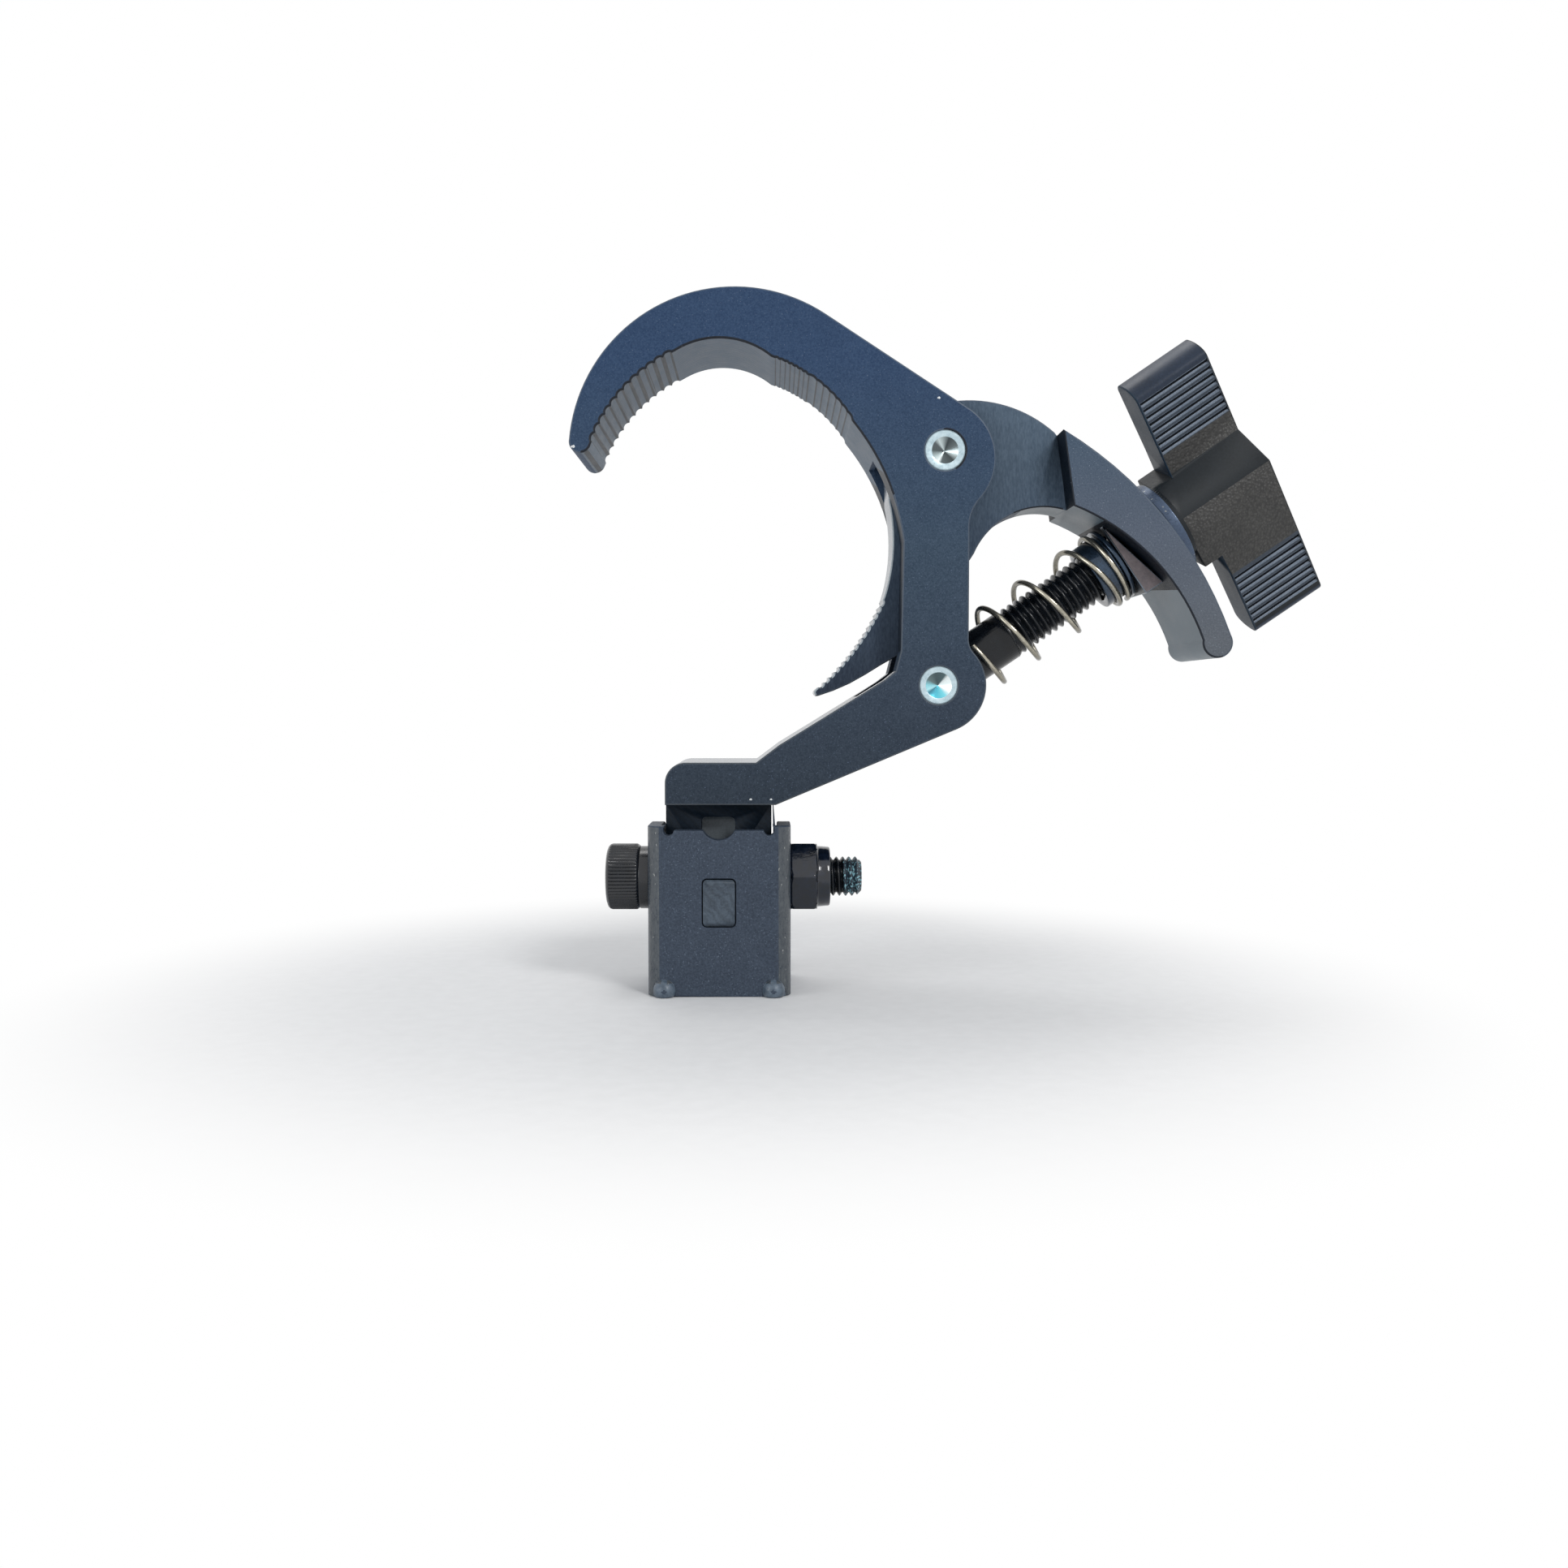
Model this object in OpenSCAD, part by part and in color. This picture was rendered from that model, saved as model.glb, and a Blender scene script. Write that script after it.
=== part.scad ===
// Stage-rigging pipe clamp: a hook body on a welded bracket, a jaw lever that
// closes on the pipe, and a swinging eye bolt with a spring and a wing knob.
// The origin is on the pipe's axis, midway across the clamp. +X points to the
// knob, +Y away from the front, +Z up from the bracket's base. Millimetres.
// The lever stands at its open stop.

/* [Pipe and body width] */
// Outside diameter of the pipe that the clamp is made for
pipe_d = 49.3; // [48.3:0.1:50.3]
// Width of the hook's two cheeks together, and of the lever's wide arm
body_w = 25; // [24:0.5:28]
// Width of the slot between the cheeks
slot_w = 11.5; // [11.2:0.1:12]
// Clearance of the lever and of the bolt's eye on each side of the slot
slot_clear = 0.25; // [0.2:0.05:0.4]

/* [Hook] */
// Radius of the hook's outer arc
hook_out_r = 31.8; // [31.4:0.1:32.4]
// Radius of the rounded tip of the hook
hook_tip_r = 2.1; // [1.6:0.1:2.4]
// How much larger than the pipe the right serrated arc is, in radius
right_grip_over = 4.45; // [4.2:0.05:4.7]
// How much larger than the pipe the left serrated arc is, in radius
left_grip_over = 8.5; // [8.2:0.05:8.8]
// Radius of the smooth arc at the top of the hook's inside
crown_r = 15.9; // [15.6:0.1:16.2]
// Number of broad scallops on the right serrated arc
broad_grips = 7; // [5:1:7]
// Radius of one broad scallop
broad_r = 1.9; // [1.6:0.1:2.4]
// Depth of one broad scallop
broad_depth = 0.25; // [0.15:0.05:0.3]
// Number of fine grooves on the right serrated arc, past the broad ones
fine_grips = 7; // [4:1:8]
// Radius of one fine groove
fine_r = 0.35; // [0.25:0.05:0.4]
// Depth of one fine groove
fine_depth = 0.15; // [0.1:0.05:0.2]
// Number of scallops on the left serrated arc
left_grips = 12; // [10:1:13]
// Radius of one scallop on the left arc
scallop_r = 1.15; // [1.05:0.05:1.25]
// Depth of one scallop on the left arc
scallop_depth = 0.45; // [0.3:0.05:0.6]
// Radius of the boss round the upper pivot
upper_boss_r = 11.3; // [11:0.1:11.6]
// Radius of the boss round the lower pivot
lower_boss_r = 9.2; // [9:0.1:9.6]
// Radius of the fillet from the upper boss to the post
upper_fillet_r = 8; // [5:0.5:9]
// Radius of the fillet from the post to the lower boss
lower_fillet_r = 4; // [3:0.5:5]
// Slope of the lower arm's underside, in degrees
arm_slope = 22.7; // [22:0.1:23.4]
// Clearance of the pocket round the lever's hub
hub_pocket_gap = 1.7; // [1.6:0.1:2]
// Clearance of the pocket round the bolt's eye
eye_pocket_gap = 0.45; // [0.3:0.05:0.6]
// Clearance between the pipe and the two points where the hook's arcs bend
seat_gap = 0.2; // [0:0.05:0.5]

/* [Foot and tongue] */
// Height of the foot that stands on the bracket's tongue
foot_h = 8.2; // [7:0.2:9]
// Radius of the foot's rear corner
foot_corner_r = 4; // [2:0.5:6]
// Gap between the tongue and each of the bracket's flanges
tongue_gap = 0.95; // [0.5:0.05:1]
// Height of the tongue below the foot
tongue_h = 31.3; // [29:0.1:32]
// Width of the pocket in the front of the tongue
pocket_w = 6.6; // [5:0.1:8]
// Depth of the pocket in the front of the tongue
pocket_depth = 3.5; // [1:0.1:3.6]

/* [Pivots] */
// Diameter of the lever's pivot pin
upper_pin_d = 7.7; // [7:0.1:9]
// Diameter of the eye bolt's pivot pin
lower_pin_d = 7.3; // [6.5:0.1:8]
// Radial running clearance on the pivot pins
pin_clear = 0.05; // [0.03:0.01:0.09]
// Radial interference of the pins in the cheeks
pin_press = 0.01; // [0:0.005:0.02]
// Diameter of the cone in the end of each pin
dimple_d = 5.1; // [3:0.1:5.6]
// Depth of the cone in the end of each pin
dimple_depth = 1.5; // [0.5:0.1:2]

/* [Jaw lever] */
// Radius of the lever's hub
hub_r = 10.6; // [10.2:0.1:10.7]
// Radius of the outer face of the wide arm
arm_out_r = 76.4; // [76:0.1:76.8]
// Radius of the inner face of the wide arm
arm_in_r = 43.6; // [43.3:0.1:43.8]
// Radius of the rounded end of the arm
arm_tip_r = 2.95; // [2.7:0.05:3.1]
// How much larger than the pipe the jaw's side face is, in radius
jaw_side_over = 11.95; // [11.7:0.05:12.2]
// Radius of the jaw's serrated face
jaw_grip_r = 52.5; // [52:0.1:53]
// Number of teeth on the jaw
jaw_teeth = 15; // [12:1:16]
// Depth of the jaw's teeth
tooth_depth = 0.4; // [0.2:0.05:0.5]
// Radius of the notch between two teeth
tooth_r = 0.8; // [0.7:0.05:0.9]
// Clearance of the bolt on each side of the arm's slot
arm_slot_gap = 0.5; // [0.4:0.05:0.8]
// Clearance of the knob's washer on the arm's outer face
arm_clear = 0.27; // [0.2:0.01:0.35]

/* [Eye bolt] */
// Angle of the bolt above +X at rest, in degrees
bolt_angle = 34.2; // [34:0.1:34.4]
// Outside diameter of the thread
bolt_d = 9.85; // [9.6:0.05:9.9]
// Diameter of the plain shank
shank_d = 10; // [9.9:0.05:10.2]
// Length of the plain shank from the pivot
shank_l = 18; // [14:0.5:24]
// Outside radius of the bolt's eye
eye_r = 7.25; // [6.8:0.05:7.3]
// Chamfer on the end of the bolt
bolt_chamfer = 0.9; // [0.4:0.1:1.2]
// Depth of the groove for the retaining ring
groove_depth = 0.6; // [0.4:0.05:0.9]
// Clearance of the retaining ring in the knob's bore
ring_clear = 0.25; // [0.2:0.05:0.5]
// Thickness of the retaining ring
ring_t = 1.1; // [0.8:0.1:1.3]
// Opening of the retaining ring, in degrees
ring_gap = 50; // [30:5:90]

/* [Spring, bush and washers] */
// Wire diameter of the spring
wire_d = 1.1; // [0.9:0.05:1.2]
// Outside diameter of the spring
spring_od = 15.9; // [15.8:0.05:16.2]
// Pitch of the spring at its start
spring_pitch = 7.2; // [6.5:0.1:8]
// How much the spring's pitch grows with each turn
pitch_growth = 1.4; // [0.8:0.1:2]
// Pitch of the spring's last turn, against the bush
end_pitch = 1.9; // [1.5:0.1:3]
// Length of the spring's last turn, in turns
end_turns = 1; // [0.7:0.1:1.2]
// Turns over which the pitch drops to that of the last turn
closing_turns = 0.3; // [0.2:0.05:0.5]
// Where the spring starts about the bolt, in degrees
spring_turn = 72; // [72:1:100]
// Distance from the lower boss's edge to the start of the spring
spring_gap = 1.2; // [1:0.05:1.5]
// Radial running clearance of the bush on the bolt
bush_clear = 0.08; // [0.04:0.01:0.1]
// Clearance of the bush's collar in the spring
collar_clear = 0.15; // [0.1:0.05:0.4]
// Length of the bush's collar
collar_l = 4.9; // [3:0.1:6]
// How far the spring stands out from the bush's flange
flange_inset = 0.25; // [0.1:0.05:0.5]
// Thickness of the bush's flange
flange_t = 0.9; // [0.7:0.05:2]
// Gap between the arm and the two edges of the wedge washer that bear on it
wedge_seat_gap = 0.03; // [0.02:0.01:0.1]
// Wall of the wedge washer past its slot, at the thick end
wedge_wall = 1.3; // [1:0.1:1.8]
// Clearance between the bush and the wedge washer
bush_gap = 0.25; // [0.2:0.01:0.3]
// Width of the wedge washer
wedge_w = 15; // [14:0.2:17]
// Clearance of the bolt on each side of the wedge washer's slot
wedge_slot_gap = 0.6; // [0.45:0.05:0.8]
// Outside diameter of the knob's washer
washer_d = 20; // [18:0.5:21]
// Thickness of the knob's washer
washer_t = 2; // [1.6:0.1:2]

/* [Wing knob] */
// Reach of each wing from the bolt's axis
wing_reach = 28.3; // [25:0.1:30]
// Distance of a wing's outer face from the bolt's axis
wing_face = 7.6; // [7.3:0.05:8]
// Thickness of each wing
wing_t = 7.1; // [6.4:0.05:7.3]
// Height of the wings along the bolt
wing_h = 16.2; // [14:0.1:17]
// Width of the hub block under the wings
hub_block_w = 16.6; // [15:0.1:17.4]
// Height of the hub block below the wings
hub_block_h = 4.1; // [3:0.1:5]
// Radius of the round collar at the foot of the knob
knob_collar_r = 8.5; // [8:0.1:9.5]
// Height of the round collar
knob_collar_h = 1.1; // [0.8:0.1:1.6]
// Radius of the round corner at a wing's tip
wing_round_r = 5.2; // [3.5:0.1:5.4]
// Radius of the sharp corner at a wing's tip
wing_edge_r = 1.3; // [0.8:0.1:1.6]
// Turn of the knob about the bolt at rest, in degrees
knob_turn = 26.2; // [0:0.1:60]
// Number of grip grooves on each face of a wing
wing_grooves = 8; // [5:1:9]
// How far a grip groove stops short of a wing's two ends
groove_stop = 0.4; // [0.2:0.1:1]
// Radius of one grip groove
grip_groove_r = 0.55; // [0.3:0.05:0.6]
// Wall of the threaded insert round the bolt
insert_wall = 1.07; // [0.9:0.01:1.2]
// Length of the threaded insert
insert_l = 10.3; // [9:0.1:11]
// Gap round the thread in the insert and in the nut
thread_gap = 0.06; // [0.04:0.01:0.1]

/* [Bracket] */
// Length of the bracket across its two flanges
bracket_l = 27.9; // [27.4:0.1:29]
// Height of the bracket's front web
web_h = 32.4; // [32:0.1:33]
// Thickness of the web
web_t = 3; // [2.5:0.1:3]
// Height of the flanges
flange_h = 33.2; // [32.6:0.1:34]
// Thickness of the flanges
bracket_flange_t = 2.7; // [2.2:0.1:2.8]
// Radius of the bends' outside
bend_r = 3.2; // [2.9:0.1:4]
// Radius of the flanges' rear corners
rear_corner_r = 12; // [8:0.5:14]
// Width of the window in the web
window_w = 6.6; // [6:0.1:7.4]
// Height of the window in the web
window_h = 9.5; // [8:0.1:10]
// Clearance of the tongue's key in the window
key_clear = 0.2; // [0.15:0.05:0.3]
// Radius of the weld beads at the web's lower corners
weld_r = 2.2; // [1.6:0.1:2.6]

/* [Bracket screw] */
// Diameter of the screw
screw_d = 7.9; // [7.8:0.05:8]
// Radial clearance of the screw in its holes
screw_clear = 0.25; // [0.15:0.05:0.5]
// How far the screw's head stands out from its shank, in radius
head_rim = 2.65; // [2.4:0.05:2.8]
// Height of the screw's head
head_h = 6.5; // [6:0.1:8]
// Key size of the head's hexagon socket
key_size = 6; // [5:0.5:6]
// Width of the spring washer's ring
lock_washer_rim = 2.1; // [1.9:0.05:2.3]
// Thickness of the spring washer
lock_washer_t = 2.1; // [1.8:0.1:2.2]
// Height of the nut's hexagon
nut_hex_h = 5.3; // [4.8:0.1:6]
// Height of the nut's round collar
nut_collar_h = 2.6; // [2:0.1:3]
// Key size of the nut
nut_size = 13; // [12.8:0.1:13]
// Length of the screw beyond the nut's bracket face
screw_past = 14.2; // [12:0.1:18]

/* [Hidden] */
eps = 0.01;
half_w = body_w / 2;
half_slot = slot_w / 2;
half_core = half_slot - slot_clear;
pipe_r = pipe_d / 2;

// Pivots and the centres of the bosses, as [x, z] from the pipe's axis
upper = [39.55, 6.5];
lower = [38.55, -38.3];
boss_c = upper - [1.6, 1.6];
hook_c = [-0.55, 5.4];
hub_pocket_r = hub_r + hub_pocket_gap;
eye_pocket_r = eye_r + eye_pocket_gap;
screw_r = screw_d / 2;
screw_hole_r = screw_r + screw_clear;

// Corners of the hook's inner outline, where one arc passes into the next
seat_r = pipe_r + seat_gap;
post_top = [31.65, -10.8];
seat_right = seat_r * [cos(28.3), sin(28.3)];
seat_left = seat_r * [cos(75.3), sin(75.3)];
crown_end = (seat_r + 2.9) * [cos(115.2), sin(115.2)];
tip_c = hook_c + (hook_out_r - hook_tip_r) * [cos(175), sin(175)];
tip_end = tip_c + hook_tip_r * [cos(-20), sin(-20)];
right_grip_r = pipe_r + right_grip_over;
left_grip_r = pipe_r + left_grip_over;

// Corners of the lever: its step, its arm and its jaw
step_high = [62.2, 10.5];
step_low = [64.25, -4];
arm_tip_c = [92.35, -30.1];
arm_out_end = arm_tip_c + arm_tip_r * [cos(30), sin(30)];
arm_in_end = arm_tip_c + arm_tip_r * [cos(171.6), sin(171.6)];
heel = [46.15, -12.4];
jaw_tip = [15.5, -39.6];
jaw_grip_end = on(jaw_tip, 0.7, 130);
jaw_corner = [28.54, -20.82];
jaw_top = [29.32, -2.17];
jaw_side_r = pipe_r + jaw_side_over;

// Levels of the foot and the bracket
foot_z = -61.4;
base_z = -98.7;
bracket_x = -3.85;
web_y = -half_w;
tongue_l = bracket_l - 2 * (bracket_flange_t + tongue_gap);
foot_x = bracket_x - tongue_l / 2 - 0.1;
tongue_y = web_y + web_t + 0.3;
screw_y = -2;
screw_z = base_z + 22.3;
window_z = base_z + 13.5;
post_x = 44.3;

// The bolt's direction, and the direction across it
bolt_dir = [cos(bolt_angle), sin(bolt_angle)];
side_dir = [sin(bolt_angle), -cos(bolt_angle)];

// Distances from the lower pivot along the bolt
arm_in_c = bow_c(step_low, arm_in_end, arm_in_r);
arm_out_c = bow_c(step_high, arm_out_end, arm_out_r);
wedge_thin = -(bolt_d / 2 + 2.5);
wedge_a = reach(wedge_thin, arm_in_c, arm_in_r) - 0.2;
flange_a = wedge_a - bush_gap - flange_t;
washer_a = arm_clear + max([for (i = [-10:10]) reach(i * washer_d / 20, arm_out_c, arm_out_r)]);
knob_a = washer_a + washer_t + 0.08;
block_a = knob_a + knob_collar_h;
wing_a = block_a + hub_block_h;
wing_end_a = wing_a + wing_h;
insert_a = knob_a + 0.1;
insert_r = bolt_d / 2 + insert_wall;
groove_a = insert_a + insert_l + 0.3;
groove_r = bolt_d / 2 - groove_depth;
bolt_l = groove_a + ring_t + 0.25 + bolt_chamfer;
coil_r = (spring_od - wire_d) / 2;
collar_r = spring_od / 2 - wire_d - collar_clear;
spring_start = lower_boss_r + spring_gap;

// ---- helpers -------------------------------------------------------------

// Point at an angle on a circle, and an arc as a list of points
function on(c, r, a) = c + r * [cos(a), sin(a)];
function arc(c, r, a0, a1) =
    let (n = max(2, ceil(abs(a1 - a0) / 3)))
    [for (i = [0:n]) on(c, r, a0 + (a1 - a0) * i / n)];
function way(p, q) = atan2(q[1] - p[1], q[0] - p[0]);

// An arc of radius r from p to q. With r above 0 its centre is on the right of
// the way from p to q, and with r below 0 on the left.
function bow_c(p, q, r) = let (d = q - p, n = norm(d))
    (p + q) / 2 + sign(r) * sqrt(r * r - n * n / 4) * [d[1], -d[0]] / n;
function bow_turn(p, q, r) = -2 * asin(norm(q - p) / 2 / r);
function bow(p, q, r) = let (c = bow_c(p, q, r), a = way(c, p))
    arc(c, abs(r), a, a + bow_turn(p, q, r));

// How far along the bolt a line beside it, at the distance s, meets a circle
function reach(s, c, r) = let (m = lower + s * side_dir - c, b = m * bolt_dir)
    -b + sqrt(b * b - m * m + r * r);

// Centre of a fillet that touches a vertical line from the right and a circle
function fillet_c(c, r, x, f, side) =
    [x + f, c[1] + side * sqrt(pow(r + f, 2) - pow(x + f - c[0], 2))];

// An outline in x and z, extruded from y0 to y1
module plate(y0, y1) {
    translate([0, y1, 0]) rotate([90, 0, 0]) linear_extrude(y1 - y0) children();
}

// A cylinder along y, and one along x
module rod_y(p, r, y0, y1) {
    translate([p[0], y1, p[1]]) rotate([90, 0, 0]) cylinder(r = r, h = y1 - y0, $fn = 64);
}
module rod_x(x0, x1, r) {
    translate([x0, screw_y, screw_z]) rotate([0, 90, 0]) cylinder(r = r, h = x1 - x0, $fn = 64);
}

// The bolt's own frame: z runs along the bolt from the lower pivot
module on_bolt() {
    translate([lower[0], 0, lower[1]]) rotate([0, 90 - bolt_angle, 0]) children();
}

// A ring or a disc on the bolt's axis
module disc(a0, a1, r) {
    translate([0, 0, a0]) cylinder(r = r, h = a1 - a0, $fn = 64);
}

// Scallops cut into the outside of an arc from p to q, over a share of it clear of its ends
module scallops(p, q, r, n, cut_r, depth, from = 0.03, to = 0.97) {
    c = bow_c(p, q, r);
    a = way(c, p);
    turn = bow_turn(p, q, r);
    for (i = [0.5:1:n])
        translate(on(c, abs(r) - cut_r + depth, a + turn * (from + (to - from) * i / n)))
            circle(r = cut_r, $fn = 32);
}

// ---- hook body -----------------------------------------------------------

module hook_outline() {
    out_a = way(hook_c, boss_c) + acos((hook_out_r - upper_boss_r) / norm(boss_c - hook_c));
    f1 = fillet_c(boss_c, upper_boss_r, post_x, upper_fillet_r, -1);
    f2 = fillet_c(lower, lower_boss_r, post_x, lower_fillet_r, 1);
    under = on(lower, lower_boss_r, arm_slope - 90);
    foot_end = [under[0] + (foot_z - under[1]) / tan(arm_slope), foot_z];
    top_z = foot_z + foot_h;
    difference() {
        polygon(concat(
            arc(hook_c, hook_out_r, 175, out_a),
            arc(boss_c, upper_boss_r, out_a, way(boss_c, f1)),
            arc(f1, upper_fillet_r, way(f1, boss_c), 180),
            arc(f2, lower_fillet_r, 180, way(f2, lower) + 360),
            arc(lower, lower_boss_r, way(lower, f2), arm_slope - 90),
            [foot_end, [foot_x, foot_z]],
            arc([foot_x + foot_corner_r, top_z - foot_corner_r], foot_corner_r, 180, 90),
            [[3.35, top_z], [7.85, -49.8], [28.15, -37.3], [30.25, -35.6], [31.25, -31.7], post_top],
            bow(post_top, seat_right, -44.6),
            bow(seat_right, seat_left, -right_grip_r),
            bow(seat_left, crown_end, -crown_r),
            bow(crown_end, tip_end, -left_grip_r),
            arc(tip_c, hook_tip_r, -20, -185)));
        scallops(seat_right, seat_left, -right_grip_r, broad_grips, broad_r, broad_depth, to = 0.6);
        scallops(seat_right, seat_left, -right_grip_r, fine_grips, fine_r, fine_depth, from = 0.62);
        scallops(crown_end, tip_end, -left_grip_r, left_grips, scallop_r, scallop_depth);
    }
}

// The space between the cheeks, for the lever and for the bolt's eye
module cheek_slot() {
    front = [22.85, -40.3];
    d = norm(lower - front);
    down = way(front, lower) - asin(eye_pocket_r / d);
    translate(upper) circle(r = hub_pocket_r, $fn = 96);
    polygon([[35.75, 5.5], [35.75, 50], [80, 50], [80, 5.5]]);
    polygon(concat(
        [[20, 5.5], [80, 5.5], [80, lower[1] - eye_pocket_r]],
        arc(lower, eye_pocket_r, -90, down - 90),
        [front, [20, -36]]));
}

module hook_body() {
    color([0.13, 0.14, 0.2]) difference() {
        union() {
            plate(-half_w, half_w) hook_outline();
            tongue();
        }
        plate(-half_slot, half_slot) cheek_slot();
        rod_y(upper, upper_pin_d / 2 - pin_press, -half_w - 1, half_w + 1);
        rod_y(lower, lower_pin_d / 2 - pin_press, -half_w - 1, half_w + 1);
        rod_x(foot_x - 2, foot_x + tongue_l + 2, screw_hole_r);
    }
}

// The tongue that the bracket's screw passes through, with its front key
module tongue() {
    difference() {
        translate([foot_x, tongue_y, foot_z - tongue_h])
            cube([tongue_l, half_w - tongue_y, tongue_h + 1]);
        plate(tongue_y - 1, tongue_y + pocket_depth)
            round_box(bracket_x - pocket_w / 2 - 0.2, foot_z - 11.3, pocket_w, 8.8, 1);
    }
    plate(web_y + 0.1, tongue_y + 1)
        round_box(bracket_x - window_w / 2 + key_clear, window_z + key_clear,
                  window_w - 2 * key_clear, window_h - 2 * key_clear, 0.8);
}

module round_box(x, z, w, h, r) {
    polygon(concat(
        arc([x + r, z + r], r, 180, 270), arc([x + w - r, z + r], r, 270, 360),
        arc([x + w - r, z + h - r], r, 0, 90), arc([x + r, z + h - r], r, 90, 180)));
}

// ---- pivot pins ----------------------------------------------------------

module pivot_pin(p, d) {
    color([0.82, 0.82, 0.84]) difference() {
        rod_y(p, d / 2, -half_w, half_w);
        for (s = [-1, 1])
            translate([p[0], s * (half_w + eps), p[1]]) rotate([s * 90, 0, 0])
                cylinder(r1 = dimple_d / 2, r2 = 0, h = dimple_depth, $fn = 48);
    }
}

module upper_pivot_pin() pivot_pin(upper, upper_pin_d);
module lower_pivot_pin() pivot_pin(lower, lower_pin_d);

// ---- bracket -------------------------------------------------------------

module bracket_plan() {
    l = bracket_l / 2;
    t = bracket_flange_t;
    y1 = half_w - 1;
    inner_r = 0.8;
    translate([bracket_x, 0]) polygon(concat(
        [[-l, y1]], arc([-l + bend_r, web_y + bend_r], bend_r, 180, 270),
        arc([l - bend_r, web_y + bend_r], bend_r, 270, 360), [[l, y1], [l - t, y1]],
        arc([l - t - inner_r, web_y + web_t + inner_r], inner_r, 0, -90),
        arc([-l + t + inner_r, web_y + web_t + inner_r], inner_r, 270, 180), [[-l + t, y1]]));
}

// The flanges' side view in y and z
module flange_side() {
    y1 = half_w - 1;
    r = rear_corner_r;
    polygon(concat([[web_y - 1, base_z - 1], [y1 + 1, base_z - 1], [y1 + 1, base_z], [y1, base_z]],
        arc([y1 - r, base_z + flange_h - r], r, 0, 90), [[web_y - 1, base_z + flange_h]]));
}

module mounting_bracket() {
    l = bracket_l / 2;
    color([0.12, 0.12, 0.14]) difference() {
        union() {
            intersection() {
                translate([0, 0, base_z]) linear_extrude(flange_h) bracket_plan();
                translate([bracket_x - l - 1, 0, 0]) rotate([90, 0, 90])
                    linear_extrude(bracket_l + 2) flange_side();
            }
            for (s = [-1, 1]) translate([bracket_x + s * 10.6, web_y + 0.4, base_z + 1.2])
                sphere(r = weld_r, $fn = 32);
        }
        translate([bracket_x - l + 4.2, web_y - 3, base_z + web_h])
            cube([bracket_l - 8.4, web_t + 4, 5]);
        for (s = [-1, 1])
            rod_y([bracket_x + s * (l - 4.2), base_z + web_h], 1, web_y - 1, web_y + web_t + 1);
        rod_y([bracket_x, base_z + web_h + 1.6], 3.5, web_y - 1, web_y + web_t + 1);
        plate(web_y - 1, web_y + web_t + 1)
            round_box(bracket_x - window_w / 2, window_z, window_w, window_h, 1);
        rod_x(bracket_x - l - 1, bracket_x + l + 1, screw_hole_r);
        translate([bracket_x - 30, -30, base_z - 10]) cube([60, 60, 10]);
    }
}

// ---- bracket screw, spring washer and lock nut -----------------------------

head_x = bracket_x - bracket_l / 2 - lock_washer_t;
nut_x = bracket_x + bracket_l / 2;
screw_end_x = nut_x + screw_past;
head_r = screw_r + head_rim;

module bracket_screw() {
    color([0.1, 0.1, 0.11]) translate([head_x, screw_y, screw_z]) rotate([0, 90, 0])
    difference() {
        rotate_extrude($fn = 64) polygon([
            [0, -head_h], [head_r - 0.6, -head_h], [head_r, -head_h + 0.6],
            [head_r, 0], [screw_r, 0],
            [screw_r, screw_end_x - head_x - 1], [screw_r - 1, screw_end_x - head_x],
            [0, screw_end_x - head_x]]);
        translate([0, 0, -head_h - eps])
            cylinder(r = key_size / sqrt(3), h = 4, $fn = 6);
    }
}

module spring_washer() {
    color([0.3, 0.3, 0.32]) difference() {
        translate([head_x + 0.02, screw_y, screw_z - 0.15]) rotate([0, 90, 0])
            cylinder(r = screw_r + 0.2 + lock_washer_rim, h = lock_washer_t - 0.04, $fn = 64);
        rod_x(head_x - 1, head_x + lock_washer_t + 1, screw_r + 0.2);
        translate([head_x + lock_washer_t / 2, screw_y, screw_z]) rotate([-60, 0, 0])
            rotate([0, 0, 20]) translate([-3, -0.5, 0]) cube([6, 1, 10]);
    }
}

module lock_nut() {
    half = nut_size / 2;
    color([0.62, 0.6, 0.6]) difference() {
        translate([nut_x + 0.02, screw_y, screw_z]) rotate([0, 90, 0]) union() {
            intersection() {
                rotate([0, 0, 24]) cylinder(r = nut_size / sqrt(3), h = nut_hex_h, $fn = 6);
                rotate_extrude($fn = 64) polygon([
                    [0, 0], [half + 0.3, 0], [half + 1.1, 0.5],
                    [half + 1.1, nut_hex_h - 0.5], [half + 0.3, nut_hex_h], [0, nut_hex_h]]);
            }
            translate([0, 0, nut_hex_h - eps])
                cylinder(r1 = half - 0.4, r2 = half - 0.6, h = nut_collar_h + eps, $fn = 64);
        }
        rod_x(nut_x - 1, nut_x + 20, screw_r + thread_gap);
        rod_x(nut_x + nut_hex_h, nut_x + nut_hex_h + nut_collar_h - 0.5, half - 1.2);
        rod_x(nut_x + nut_hex_h, nut_x + 20, half - 1.7);
    }
}

module lock_nut_insert() {
    color([0.75, 0.75, 0.78]) difference() {
        rod_x(nut_x + nut_hex_h + 0.02, nut_x + nut_hex_h + nut_collar_h - 0.52,
              nut_size / 2 - 1.22);
        rod_x(nut_x, nut_x + 20, screw_r + 0.02);
    }
}

// ---- jaw lever -----------------------------------------------------------

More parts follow.
